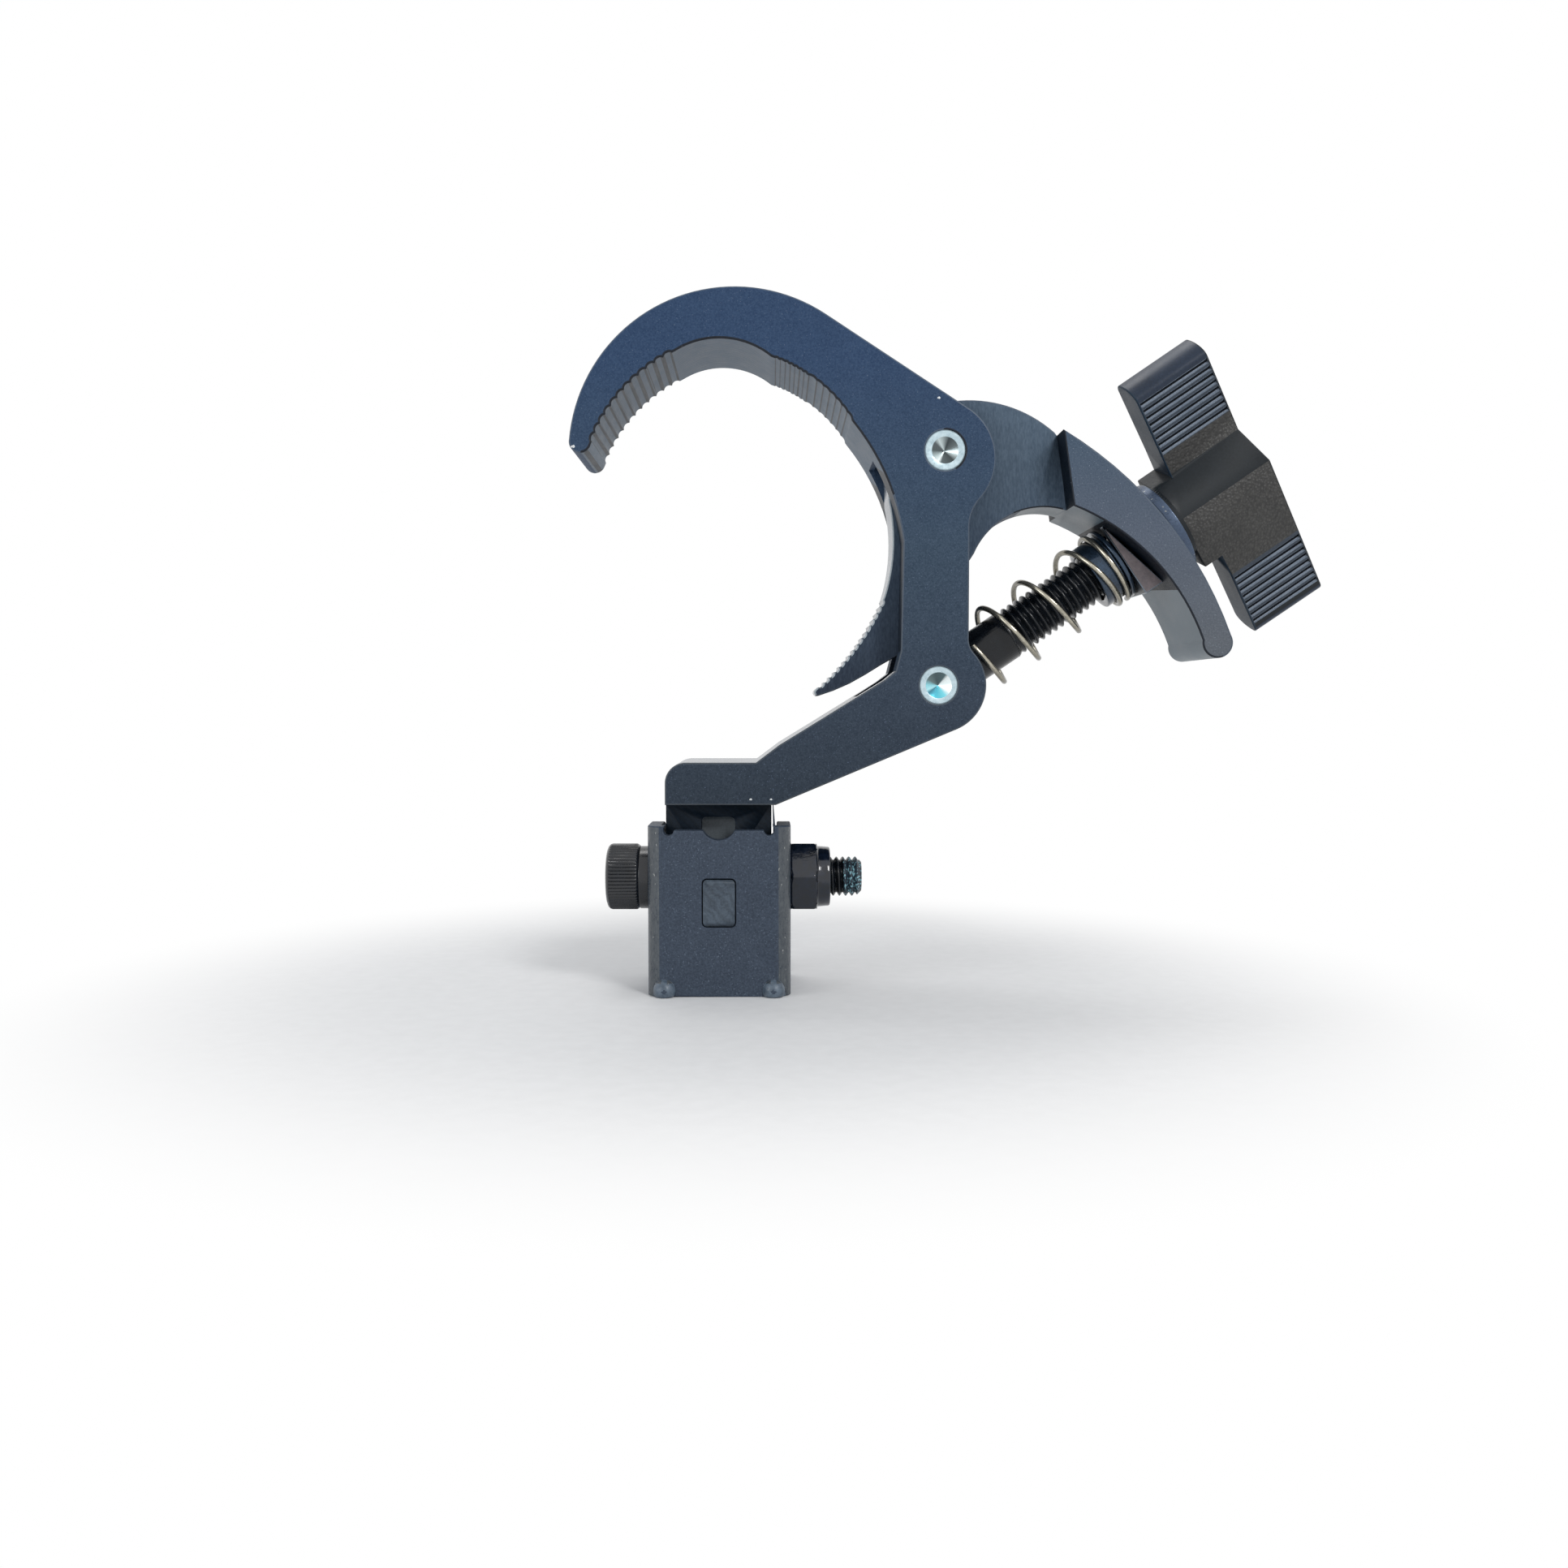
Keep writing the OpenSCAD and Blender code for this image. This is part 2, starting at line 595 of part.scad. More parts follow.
module lever_core_outline() {
    difference() {
        union() {
            translate(upper) circle(r = hub_r, $fn = 96);
            polygon(concat(
                bow(on(upper, hub_r - 0.06, 84.5), [61.77, 11.18], 25.55), [step_high, step_low],
                bow(step_low, heel, -14.9),
                [[44.65, -14.7], [34.15, -27.7], [31.65, -32.1], [30.85, -32.6],
                 [27.85, -34.3], [24.95, -36.1], [21.75, -37.9], [18.55, -39.3]],
                arc(jaw_tip, 0.7, 280, 130),
                bow(jaw_grip_end, jaw_corner, -jaw_grip_r),
                bow(jaw_corner, jaw_top, -jaw_side_r),
                [upper - [hub_r, 0]]));
        }
        scallops(jaw_grip_end, jaw_corner, -jaw_grip_r, jaw_teeth, tooth_r, tooth_depth);
    }
}

module wide_arm_outline() {
    polygon(concat(
        [step_low],
        bow(step_high, arm_out_end, arm_out_r),
        arc(arm_tip_c, arm_tip_r, 30, -188.4),
        bow(arm_in_end, step_low, -arm_in_r)));
}

module lever_jaw() {
    color([0.12, 0.13, 0.19]) difference() {
        union() {
            plate(-half_core, half_core) lever_core_outline();
            plate(-half_w, half_w) wide_arm_outline();
        }
        rod_y(upper, upper_pin_d / 2 + pin_clear, -half_w, half_w);
        on_bolt() translate([0, 0, flange_a - 4]) linear_extrude(30)
            slot_plan(bolt_d + 2 * arm_slot_gap, bolt_d / -2 - 0.7, bolt_d / 2 + 1.2);
    }
}

// A slot with round ends along the bolt frame's x, from x0 to x1
module slot_plan(w, x0, x1) {
    translate([x0 + w / 2, 0]) circle(r = w / 2, $fn = 64);
    translate([x1 - w / 2, 0]) circle(r = w / 2, $fn = 64);
    translate([x0 + w / 2, -w / 2]) square([x1 - x0 - w, w]);
}

// ---- eye bolt, ring and spring ---------------------------------------------

module eye_bolt() {
    color([0.1, 0.1, 0.11]) difference() {
        union() {
            rod_y(lower, eye_r, -half_core, half_core);
            on_bolt() rotate_extrude($fn = 64) polygon([
                [0, 0], [shank_d / 2, 0], [shank_d / 2, shank_l], [bolt_d / 2, shank_l + 0.3],
                [bolt_d / 2, groove_a], [groove_r, groove_a],
                [groove_r, groove_a + ring_t + 0.05], [bolt_d / 2, groove_a + ring_t + 0.05],
                [bolt_d / 2, bolt_l - bolt_chamfer], [bolt_d / 2 - bolt_chamfer, bolt_l],
                [0, bolt_l]]);
        }
        rod_y(lower, lower_pin_d / 2 + pin_clear, -half_w, half_w);
        for (s = [-1, 1]) translate([lower[0] - 20, s * (half_core + 5) - 5, lower[1] - 20])
            cube([30, 10, 30]);
    }
}

module retaining_ring() {
    color([0.35, 0.35, 0.37]) on_bolt() difference() {
        disc(groove_a + 0.02, groove_a + ring_t + 0.02, insert_r - ring_clear);
        disc(groove_a - 1, groove_a + 3, groove_r + 0.02);
        translate([0, 0, groove_a - 1]) rotate([0, 0, 90]) linear_extrude(4)
            polygon([[0, 0], [9, 9 * tan(ring_gap / 2)], [9, -9 * tan(ring_gap / 2)]]);
    }
}

// Rows of a coiled tube: w is the turn in degrees, h its height
function coil_row(w, h, sides) = let (r = wire_d / 2) [for (k = [0:sides - 1])
    let (b = 360 * k / sides, q = coil_r + r * cos(b))
    [-q * cos(w), -q * sin(w), h + r * sin(b)]];

// The spring: its pitch grows turn by turn, then drops to a last turn that lies against the bush
module coil_spring() {
    sides = 10;
    spring_l = flange_a - wire_d / 2 - 0.05 - spring_start;
    half_b = (spring_pitch + pitch_growth * closing_turns / 2) / pitch_growth;
    rest_l = spring_l - (spring_pitch + end_pitch) / 2 * closing_turns - end_pitch * end_turns;
    open_turns = sqrt(half_b * half_b + 2 * rest_l / pitch_growth) - half_b;
    drop = spring_pitch + pitch_growth * open_turns - end_pitch;
    turns = open_turns + closing_turns + end_turns;
    function height(w) = w < open_turns ? spring_pitch * w + pitch_growth * w * w / 2
        : spring_l - end_pitch * (turns - w)
          - drop * pow(max(0, turns - end_turns - w), 2) / (2 * closing_turns);
    n = ceil(turns * 40);
    rows = [for (i = [0:n]) let (w = turns * i / n)
        coil_row(spring_turn + 360 * w, spring_start + height(w), sides)];
    points = [for (row = rows) each row];
    faces = concat(
        [[for (k = [0:sides - 1]) k]],
        [[for (k = [sides - 1:-1:0]) n * sides + k]],
        [for (i = [0:n - 1]) for (k = [0:sides - 1]) let (m = (k + 1) % sides)
            each [[i * sides + k, (i + 1) * sides + k, (i + 1) * sides + m],
                  [i * sides + k, (i + 1) * sides + m, i * sides + m]]]);
    color([0.6, 0.58, 0.57]) on_bolt() polyhedron(points, faces);
}

// ---- bush and washers on the bolt ------------------------------------------

module spring_bush() {
    color([0.1, 0.1, 0.11]) on_bolt() difference() {
        union() {
            disc(flange_a, flange_a + flange_t, spring_od / 2 - flange_inset);
            disc(flange_a - collar_l, flange_a + eps, collar_r);
        }
        disc(flange_a - 20, flange_a + 20, shank_d / 2 + bush_clear);
    }
}

module wedge_washer() {
    slot_end = bolt_d / 2 + 2;
    slot_w = bolt_d + 2 * wedge_slot_gap;
    thick_end = slot_end + wedge_wall;
    color([0.72, 0.66, 0.66]) difference() {
        on_bolt() rotate([90, 0, 0]) linear_extrude(wedge_w, center = true)
            polygon([[wedge_thin, wedge_a], [thick_end, wedge_a],
                     [thick_end, reach(thick_end, arm_in_c, arm_in_r) - wedge_seat_gap],
                     [wedge_thin, reach(wedge_thin, arm_in_c, arm_in_r) - wedge_seat_gap]]);
        on_bolt() translate([0, 0, wedge_a - 1]) linear_extrude(11) {
            slot_plan(slot_w, wedge_thin + 1.7, slot_end);
            translate([wedge_thin - 4, -slot_w / 2]) square([-wedge_thin + 4, slot_w]);
        }
    }
}

module knob_washer() {
    color([0.55, 0.55, 0.57]) on_bolt() difference() {
        disc(washer_a, washer_a + washer_t, washer_d / 2);
        disc(washer_a - 1, washer_a + washer_t + 1, bolt_d / 2 + 0.1);
    }
}

// ---- wing knob -------------------------------------------------------------

// Half of the wing outline: one wing from its flank to its tip
function wing_half() = let (f = wing_face, b = wing_t - wing_face, e = wing_edge_r, q = wing_round_r,
                            x = wing_reach)
    concat([[-3.6, -f]], arc([x - e, -f + e], e, 270, 360), arc([x - q, b - q], q, 0, 90),
           [[8.85, b]]);

module wing_outline() {
    half = wing_half();
    polygon(concat(half, [for (p = half) -p]));
}

// The grip grooves of both wings, cut along the bolt
module grip_grooves(a0, a1) {
    groove_step = (wing_reach - wing_edge_r - 14.6) / wing_grooves;
    translate([0, 0, a0]) linear_extrude(a1 - a0)
        for (s = [-1, 1], i = [0:wing_grooves - 1]) {
            translate(s * [14.6 + groove_step * i, -wing_face - 0.1]) circle(r = grip_groove_r, $fn = 16);
            translate(s * [10.8 + groove_step * i, wing_t - wing_face + 0.1])
                circle(r = grip_groove_r, $fn = 16);
        }
}

module wing_knob() {
    color([0.2, 0.19, 0.19]) on_bolt() difference() {
        union() {
            disc(knob_a, block_a + eps, knob_collar_r);
            translate([0, 0, block_a]) rotate([0, 0, knob_turn])
                linear_extrude(hub_block_h + eps) intersection() {
                    wing_outline();
                    square([hub_block_w, 40], center = true);
                }
            translate([0, 0, wing_a]) rotate([0, 0, knob_turn])
                linear_extrude(wing_h) wing_outline();
        }
        rotate([0, 0, knob_turn]) grip_grooves(wing_a + groove_stop, wing_end_a - groove_stop);
        disc(knob_a - 1, wing_end_a + 1, insert_r);
    }
}

module knob_insert() {
    color([0.6, 0.6, 0.62]) on_bolt() difference() {
        disc(insert_a, insert_a + insert_l, insert_r - 0.01);
        disc(insert_a - 1, insert_a + insert_l + 1, bolt_d / 2 + thread_gap);
    }
}

// ---- the part --------------------------------------------------------------

hook_body();
upper_pivot_pin();
lower_pivot_pin();
mounting_bracket();
bracket_screw();
spring_washer();
lock_nut();
lock_nut_insert();
lever_jaw();
wedge_washer();
eye_bolt();
retaining_ring();
coil_spring();
spring_bush();
knob_washer();
wing_knob();
knob_insert();
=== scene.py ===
"""Looks of a pipe clamp with a wing knob, on its mounting bracket. Metres, in the CAD's frame."""
import math
import bmesh
import bpy
import numpy as np
from mathutils import Euler, Matrix, Vector
from mathutils.bvhtree import BVHTree
from mathutils.geometry import delaunay_2d_cdt


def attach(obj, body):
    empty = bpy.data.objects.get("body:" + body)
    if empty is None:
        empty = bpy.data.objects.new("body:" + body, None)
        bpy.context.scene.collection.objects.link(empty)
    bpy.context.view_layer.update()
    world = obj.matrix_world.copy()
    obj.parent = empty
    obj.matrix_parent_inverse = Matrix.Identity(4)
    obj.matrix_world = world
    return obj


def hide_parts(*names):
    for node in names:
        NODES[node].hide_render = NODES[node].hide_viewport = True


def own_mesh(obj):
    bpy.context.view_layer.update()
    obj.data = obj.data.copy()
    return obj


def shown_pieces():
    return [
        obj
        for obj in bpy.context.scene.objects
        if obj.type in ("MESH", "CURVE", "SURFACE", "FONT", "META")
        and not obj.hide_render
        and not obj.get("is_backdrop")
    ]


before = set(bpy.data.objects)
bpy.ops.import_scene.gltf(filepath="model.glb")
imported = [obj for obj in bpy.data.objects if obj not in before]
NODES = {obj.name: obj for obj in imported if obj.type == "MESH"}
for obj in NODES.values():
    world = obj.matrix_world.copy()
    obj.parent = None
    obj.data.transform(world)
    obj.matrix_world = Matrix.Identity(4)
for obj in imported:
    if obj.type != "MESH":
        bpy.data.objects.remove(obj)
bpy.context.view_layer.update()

MM = 0.001

# ---- image points: the photograph's frame, scaled to a long side of 1568 --------
W = H = 1568
POINTS = {
    "left": (566.5, None), "right": (1321.3, None), "top": (None, 285.7), "bottom": (None, 996.6),
    "upper_pin": (945.2, 449.8), "lower_pin": (938.8, 685.4), "hook_tip": (577.9, 452.1),
    "knob_upper_tip": (1186.4, 339.7), "knob_lower_corner": (1321.5, 586.5),
    "knob_middle_corner": (1269.3, 458.1), "lever_tip": (1233.2, 644.4), "jaw_tip": (814.0, 693.9),
    "screw_head": (607.9, None), "screw_end": (860.7, None), "key": (717.4, 903.3),
    "chip_boss": (939.0, 397.7), "chip_foot_a": (750.7, 799.4), "chip_foot_b": (771.0, 799.4),
    "chip_tip": (573.0, 446.4),
}

# ---- camera -----------------------------------------------------------------
CAM_AT = Vector((0.006273, -0.293976, -0.042300))
CAM_TILT, CAM_PAN = 86.947, -0.5085
LENS, SENSOR = 33.54, 36.0
SHIFT_X = SHIFT_Y = 0.0

scene = bpy.context.scene
cam_data = bpy.data.cameras.new("camera")
cam_data.lens, cam_data.sensor_width, cam_data.sensor_fit = LENS, SENSOR, "AUTO"
cam_data.shift_x, cam_data.shift_y = SHIFT_X, SHIFT_Y
cam_data.clip_start, cam_data.clip_end = 0.01, 20
camera = bpy.data.objects.new("camera", cam_data)
camera.location = CAM_AT
CAM_TURN = Euler((math.radians(CAM_TILT), 0, math.radians(CAM_PAN)))
camera.rotation_euler = CAM_TURN
scene.collection.objects.link(camera)
scene.camera = camera
CAM_ROT = CAM_TURN.to_matrix()
FOCUS = max(W, H) * LENS / SENSOR


def pixel(p):
    """Where a point in the CAD's frame shows in the image."""
    q = CAM_ROT.transposed() @ (Vector(p) - CAM_AT)
    return (W / 2 - SHIFT_X * max(W, H) + q.x / -q.z * FOCUS,
            H / 2 + SHIFT_Y * max(W, H) - q.y / -q.z * FOCUS)


# ---- the bolt's own frame: q and y across it, a along it from the lower pivot ----
LOWER = Vector((38.55, 0, -38.3)) * MM
UPPER = Vector((39.55, 0, 6.5)) * MM
ANGLE = math.radians(34.2)
ALONG = Vector((math.cos(ANGLE), 0, math.sin(ANGLE)))
ACROSS = Vector((math.sin(ANGLE), 0, -math.cos(ANGLE)))
BOLT = Matrix(((ACROSS.x, 0, ALONG.x, LOWER.x), (0, 1, 0, 0),
               (ACROSS.z, 0, ALONG.z, LOWER.z), (0, 0, 0, 1)))
TO_BOLT = BOLT.inverted()
# The cross screw's own frame: its z runs along +X through the bracket.
SCREW_Y, SCREW_Z = -2, -76.4
SCREW = Matrix(((0, 0, 1, 0), (0, 1, 0, SCREW_Y * MM), (-1, 0, 0, SCREW_Z * MM), (0, 0, 0, 1)))
# The plates' own frame: its z runs across the clamp's width. Their outer faces stand at +-HALF.
PLATE = Matrix(((1, 0, 0, 0), (0, 0, 1, 0), (0, -1, 0, 0), (0, 0, 0, 1)))
HALF = 12.5
SIDES = ((-HALF, -1), (HALF, 1))
NEAR = 0.06       # how close to a plane a face's middle lies to count as on it, in mm
SIDEWAYS = 0.3    # a wall that runs across the width has a normal with less y than this


def span(node, matrix):
    """Lowest and highest place of a CAD node along a frame's axis, in mm."""
    inverse = matrix.inverted()
    z = [(inverse @ v.co).z / MM for v in NODES[node].data.vertices]
    return min(z), max(z)


def circle(count):
    """Angles of evenly spaced steps round a full turn."""
    return [2 * math.pi * k / count for k in range(count)]


# ---- materials --------------------------------------------------------------
def srgb(c):
    """A colour in 0 to 255 as linear red, green, blue and alpha."""
    return tuple((v / 255 / 12.92 if v / 255 <= 0.04045 else ((v / 255 + 0.055) / 1.055) ** 2.4)
                 for v in c) + (1.0,)


def material(name, low, high, rough=(0.4, 0.55), metal=0.0, blotch=160, grain=2600, bump=0.25,
             depth=0.02, speck=None, speck_scale=1800, speck_size=0.18, lines=None, coat=0.0,
             specular=0.5, cell=None, stretch=None, mottle=0.5, edge=None):
    """A surface with slow colour changes, fine grain in colour and height, specks, and lines.
    low and high are colours, or lists of (height in mm, colour) from the bottom up. blotch and
    grain are the two noises' scales and mottle is the slow one's share. depth is the bump's
    height in mm, lines is (axis, scale, strength, wobble) and edge is (colour, blend): that colour
    is mixed in where the surface turns away from view, as painted shade."""
    m = bpy.data.materials.new(name)
    m.use_nodes = True
    tree = m.node_tree
    tree.nodes.clear()
    new, link = tree.nodes.new, tree.links.new

    def node(kind, **values):
        """A node. A value named i_ sets an input, and any other sets a property."""
        n = new(kind)
        for k, v in values.items():
            if k.startswith("i_"):
                n.inputs[k[2:].replace("_", " ")].default_value = v
            else:
                setattr(n, k, v)
        return n

    out, shader = node("ShaderNodeOutputMaterial"), node("ShaderNodeBsdfPrincipled")
    link(shader.outputs[0], out.inputs[0])
    shader.inputs["Metallic"].default_value = metal
    shader.inputs["Specular IOR Level"].default_value = specular
    shader.inputs["Coat Weight"].default_value = coat
    shader.inputs["Coat Roughness"].default_value = 0.12
    place = node("ShaderNodeTexCoord").outputs["Object"]
    upright = place
    base = low[0][1] if isinstance(low, list) else low
    if stretch:
        squeeze = node("ShaderNodeMapping")
        squeeze.inputs["Scale"].default_value = stretch
        link(place, squeeze.inputs["Vector"])
        place = squeeze.outputs[0]

    def noise(scale, detail):
        """The value of a noise texture over the piece."""
        n = node("ShaderNodeTexNoise", i_Scale=scale, i_Detail=detail, i_Roughness=0.55)
        link(place, n.inputs["Vector"])
        return n.outputs["Fac"]

    def spread(value, a, b, c, d):
        """Maps a value from a..b to c..d."""
        n = node("ShaderNodeMapRange")
        for i, v in zip((1, 2, 3, 4), (a, b, c, d)):
            n.inputs[i].default_value = v
        link(value, n.inputs[0])
        return n.outputs[0]

    def mix(factor, a, b):
        """Mixes two colours: the node's inputs 6 and 7 and its output 2 are colours."""
        n = node("ShaderNodeMix", data_type="RGBA")
        for socket, v in ((n.inputs[0], factor), (n.inputs[6], a), (n.inputs[7], b)):
            if isinstance(v, (tuple, float)):
                socket.default_value = v
            else:
                link(v, socket)
        return n.outputs[2]

    def tint(value):
        """A plain colour, or a ramp over the height."""
        if not isinstance(value, list):
            return srgb(value)
        parts, ramp = node("ShaderNodeSeparateXYZ"), node("ShaderNodeValToRGB")
        bottom, top = value[0][0], value[-1][0]
        link(upright, parts.inputs[0])
        link(spread(parts.outputs["Z"], bottom * MM, top * MM, 0, 1), ramp.inputs[0])
        stops = ramp.color_ramp.elements
        for _ in value[2:]:
            stops.new(0.5)
        for stop, (z, c) in zip(stops, value):
            stop.position, stop.color = (z - bottom) / (top - bottom), srgb(c)
        return ramp.outputs[0]

    slow, fine = noise(blotch, 4), noise(grain, 2)
    both = node("ShaderNodeMath", operation="ADD")
    link(spread(slow, 0.3, 0.7, 0, mottle), both.inputs[0])
    link(spread(fine, 0.3, 0.7, 0, 1 - mottle), both.inputs[1])
    colour = mix(both.outputs[0], tint(low), tint(high))
    height = fine
    if cell:
        c = node("ShaderNodeTexVoronoi", feature="SMOOTH_F1", i_Scale=cell, i_Smoothness=0.6)
        link(place, c.inputs["Vector"])
        height = spread(c.outputs["Distance"], 0, 0.7, 0, 1)
        colour = mix(spread(height, 0.2, 0.9, 0, 0.5), colour, srgb([v * 0.62 for v in base]))
    if speck:
        s = noise(speck_scale, 1)
        colour = mix(spread(s, 0.5 + speck_size, 0.56 + speck_size, 0, 0.75), colour, srgb(speck))
    if lines:
        axis, scale, strength, wobble = lines
        w = node("ShaderNodeTexWave", wave_type="BANDS", bands_direction=axis, i_Scale=scale,
                 i_Distortion=wobble, i_Detail=2.0, i_Detail_Scale=1.5)
        link(place, w.inputs["Vector"])
        colour = mix(spread(w.outputs["Fac"], 0, 1, 0, strength), colour,
                     srgb([v * 0.55 for v in base]))
        mixed = node("ShaderNodeMath", operation="MULTIPLY_ADD")
        link(w.outputs["Fac"], mixed.inputs[0])
        mixed.inputs[1].default_value = 0.8
        link(height, mixed.inputs[2])
        height = mixed.outputs[0]
    # Painted shade: the edge colour where the surface turns away from view.
    if edge:
        facing = node("ShaderNodeLayerWeight", i_Blend=edge[1])
        colour = mix(facing.outputs["Facing"], colour, srgb(edge[0]))
    link(colour, shader.inputs["Base Color"])
    link(spread(both.outputs[0], 0.2, 0.8, rough[0], rough[1]), shader.inputs["Roughness"])
    b = node("ShaderNodeBump", i_Strength=bump, i_Distance=depth * MM)
    link(height, b.inputs["Height"])
    link(b.outputs[0], shader.inputs["Normal"])
    return m


def shades(step, *stops):
    """Low and high colours by height, a step below and a step above each one given."""
    return [[(z, tuple(max(0, v + d) for v in c)) for z, c in stops] for d in (-step, step)]


# The coats' colours by height are painted light and shade: the hook's coat bluer towards the top
# and darker and greyer towards the foot, the arm plate's lightest part way up.
COAT = shades(11, (-66, (43, 52, 62)), (-40, (51, 62, 76)), (-12, (55, 71, 88)), (24, (46, 67, 96)))
PLATE_COAT = shades(10, (-66, (62, 70, 80)), (-30, (92, 97, 104)), (-8, (82, 91, 105)),
                    (12, (66, 83, 101)))
NAVY = material("navy_powder", *COAT, (0.5, 0.62), bump=0.8, depth=0.04, grain=3400, mottle=0.22,
                speck=(96, 110, 132), speck_scale=4200, speck_size=0.2, specular=0.14)
NAVY_ARM = material("navy_powder_arm", *PLATE_COAT, (0.5, 0.62), bump=0.9, depth=0.05, grain=3200,
                    mottle=0.2, speck=(128, 138, 150), speck_scale=3800, speck_size=0.2,
                    specular=0.14)
# Rounded rims: near black as painted shade where they face into the hook or lie under the arm, and
# elsewhere lighter than the coat as a painted highlight.
NAVY_EDGE = material("navy_edge", (8, 14, 22), (26, 34, 46), (0.35, 0.5), bump=0.6, depth=0.05,
                     specular=0.3, speck=(120, 130, 136), speck_scale=900, speck_size=0.26)
NAVY_RIM = material("navy_rim", *shades(8, (-66, (62, 68, 74)), (24, (74, 88, 106))), (0.36, 0.48),
                    bump=0.4, specular=0.35)
NAVY_GRIP = material("navy_grip", (50, 71, 90), (70, 91, 110), (0.4, 0.5), bump=0.5, specular=0.3,
                     blotch=420, depth=0.03, lines=("Y", 260, 0.1, 3.0))
RIB_DARK = material("rib_shade", (16, 24, 34), (32, 42, 52), (0.4, 0.5), bump=0.3, specular=0.2)
# The upper sides of the foot and arm are lighter and glossier than the coat; the lighter colour is
# a painted highlight.
TOP = material("foot_top", (56, 68, 82), (76, 88, 102), (0.22, 0.3), bump=0.3, specular=0.6,
               coat=0.25)
# The rims along the jaw's teeth are light grey as a painted highlight.
TEETH = material("jaw_teeth", (128, 140, 150), (176, 186, 190), (0.26, 0.36), bump=0.4)
JAW_GRIP = material("jaw_grip", (66, 80, 96), (88, 102, 116), (0.24, 0.34), bump=0.3, coat=0.3)
UNDER = material("arm_under", (70, 86, 98), (88, 104, 114), (0.34, 0.44), bump=0.35, blotch=120,
                 specular=0.3, depth=0.02)
# Near black painted shade on the arm's underside beside the wedge and on the shoulder's face.
PAINTED_SHADE = material("arm_painted_shade", (3, 9, 18), (14, 24, 36), (0.4, 0.55), bump=0.8, depth=0.05,
                specular=0.15)
# The core's colours by height darken towards the recessed jaw at the bottom, as painted shade.
BRUSHED = shades(12, (-40, (44, 54, 68)), (-12, (62, 76, 93)), (6, (80, 96, 112)))
NAVY_BRUSHED = material("navy_brushed", *BRUSHED, (0.46, 0.58), bump=0.3, depth=0.02, grain=3200,
                        mottle=0.25, specular=0.14, lines=("X", 200, 0.05, 6.0),
                        stretch=(1, 1, 0.3))
# The tongue under the foot is near black as a painted shadow, with milling marks.
SHADOW = material("tongue_painted_shadow", (6, 17, 27), (18, 30, 42), (0.45, 0.6), bump=0.5, depth=0.04,
                  specular=0.2, lines=("DIAGONAL", 420, 0.35, 5.0))
KEY = material("key_milled", (56, 66, 78), (88, 100, 112), (0.42, 0.55), bump=0.8, depth=0.05,
               specular=0.3, lines=("DIAGONAL", 240, 0.3, 7.0))
# The pocket's back is lighter than the coat as painted light.
LEDGE = material("tongue_ledge", (84, 92, 98), (108, 116, 122), (0.4, 0.5), bump=0.4, specular=0.3)
BRACKET = material("bracket_coat", (40, 50, 64), (64, 75, 90), (0.44, 0.58), bump=1.0, depth=0.06,
                   grain=2700, mottle=0.2, speck=(92, 104, 120), speck_scale=3000, speck_size=0.17,
                   specular=0.3)
# The bends' bright specks are painted glints.
BEND = material("bracket_bend", (42, 51, 62), (80, 86, 90), (0.26, 0.4), bump=1.0, depth=0.09,
                grain=2300, blotch=900, mottle=0.4, stretch=(1, 1, 0.45), specular=0.6,
                speck=(178, 180, 176), speck_scale=2600, speck_size=0.2)
WELD = material("weld_coat", (58, 72, 86), (104, 118, 132), (0.28, 0.42), bump=1.0, depth=0.12,
                grain=1100, blotch=520, specular=0.5)
PIN = material("pin_steel", (172, 196, 206), (206, 224, 230), (0.24, 0.4), metal=0.4, bump=0.3,
               blotch=500, grain=1800, lines=("Z", 300, 0.08, 4.0))
BLACK = material("black_oxide", (5, 8, 12), (18, 23, 30), (0.16, 0.3), bump=0.35,
                 blotch=420, depth=0.02, coat=0.15, specular=0.3)
# The bush's blue is a painted reflection, and its dark outline edges are painted shade.
BUSH = material("bush_steel", (30, 46, 62), (58, 80, 104), (0.14, 0.26), metal=0.6, bump=0.2,
                blotch=300, coat=0.4, edge=((8, 12, 18), 0.5))
# The wire's light colour is partly a painted highlight, and its dark outline edges are painted
# shade.
WIRE = material("spring_wire", (150, 146, 132), (206, 200, 184), (0.12, 0.24), metal=0.85,
                bump=0.15, blotch=500, edge=((18, 18, 16), 0.42))
WEDGE = material("wedge_steel", (96, 90, 94), (132, 122, 124), (0.34, 0.5), metal=0.3, bump=0.5,
                 blotch=380, depth=0.03, lines=("Y", 300, 0.15, 5.0))
# The wedge's sides are dark as painted shade, and its rounded rims light as a painted highlight.
WEDGE_DARK = material("wedge_dark", (14, 20, 28), (34, 42, 52), (0.3, 0.4), metal=0.3, bump=0.3)
WEDGE_RIM = material("wedge_rim", (96, 108, 122), (140, 150, 160), (0.2, 0.3), metal=0.5, bump=0.2)
WASHER = material("washer_steel", (52, 66, 86), (76, 92, 116), (0.24, 0.4), metal=0.4, bump=0.5,
                  blotch=300, speck=(150, 154, 152), speck_scale=900, speck_size=0.2)
KNOB = material("knob_leather", (48, 48, 48), (78, 77, 75), (0.4, 0.52), bump=1.0, depth=0.12,
                blotch=220, grain=1500, cell=1900, specular=0.35, mottle=0.3)
KNOB_SMOOTH = material("knob_smooth", (19, 24, 28), (28, 34, 39), (0.34, 0.46), bump=0.3,
                       blotch=200, depth=0.02, grain=2200, specular=0.25)
KNOB_END = material("knob_end", (24, 42, 58), (34, 52, 68), (0.36, 0.46), bump=0.3, blotch=160,
                    depth=0.02, specular=0.25)
KNOB_WING = material("knob_wing", (42, 50, 60), (62, 71, 83), (0.3, 0.42), bump=0.35, blotch=200,
                     depth=0.03, specular=0.3)
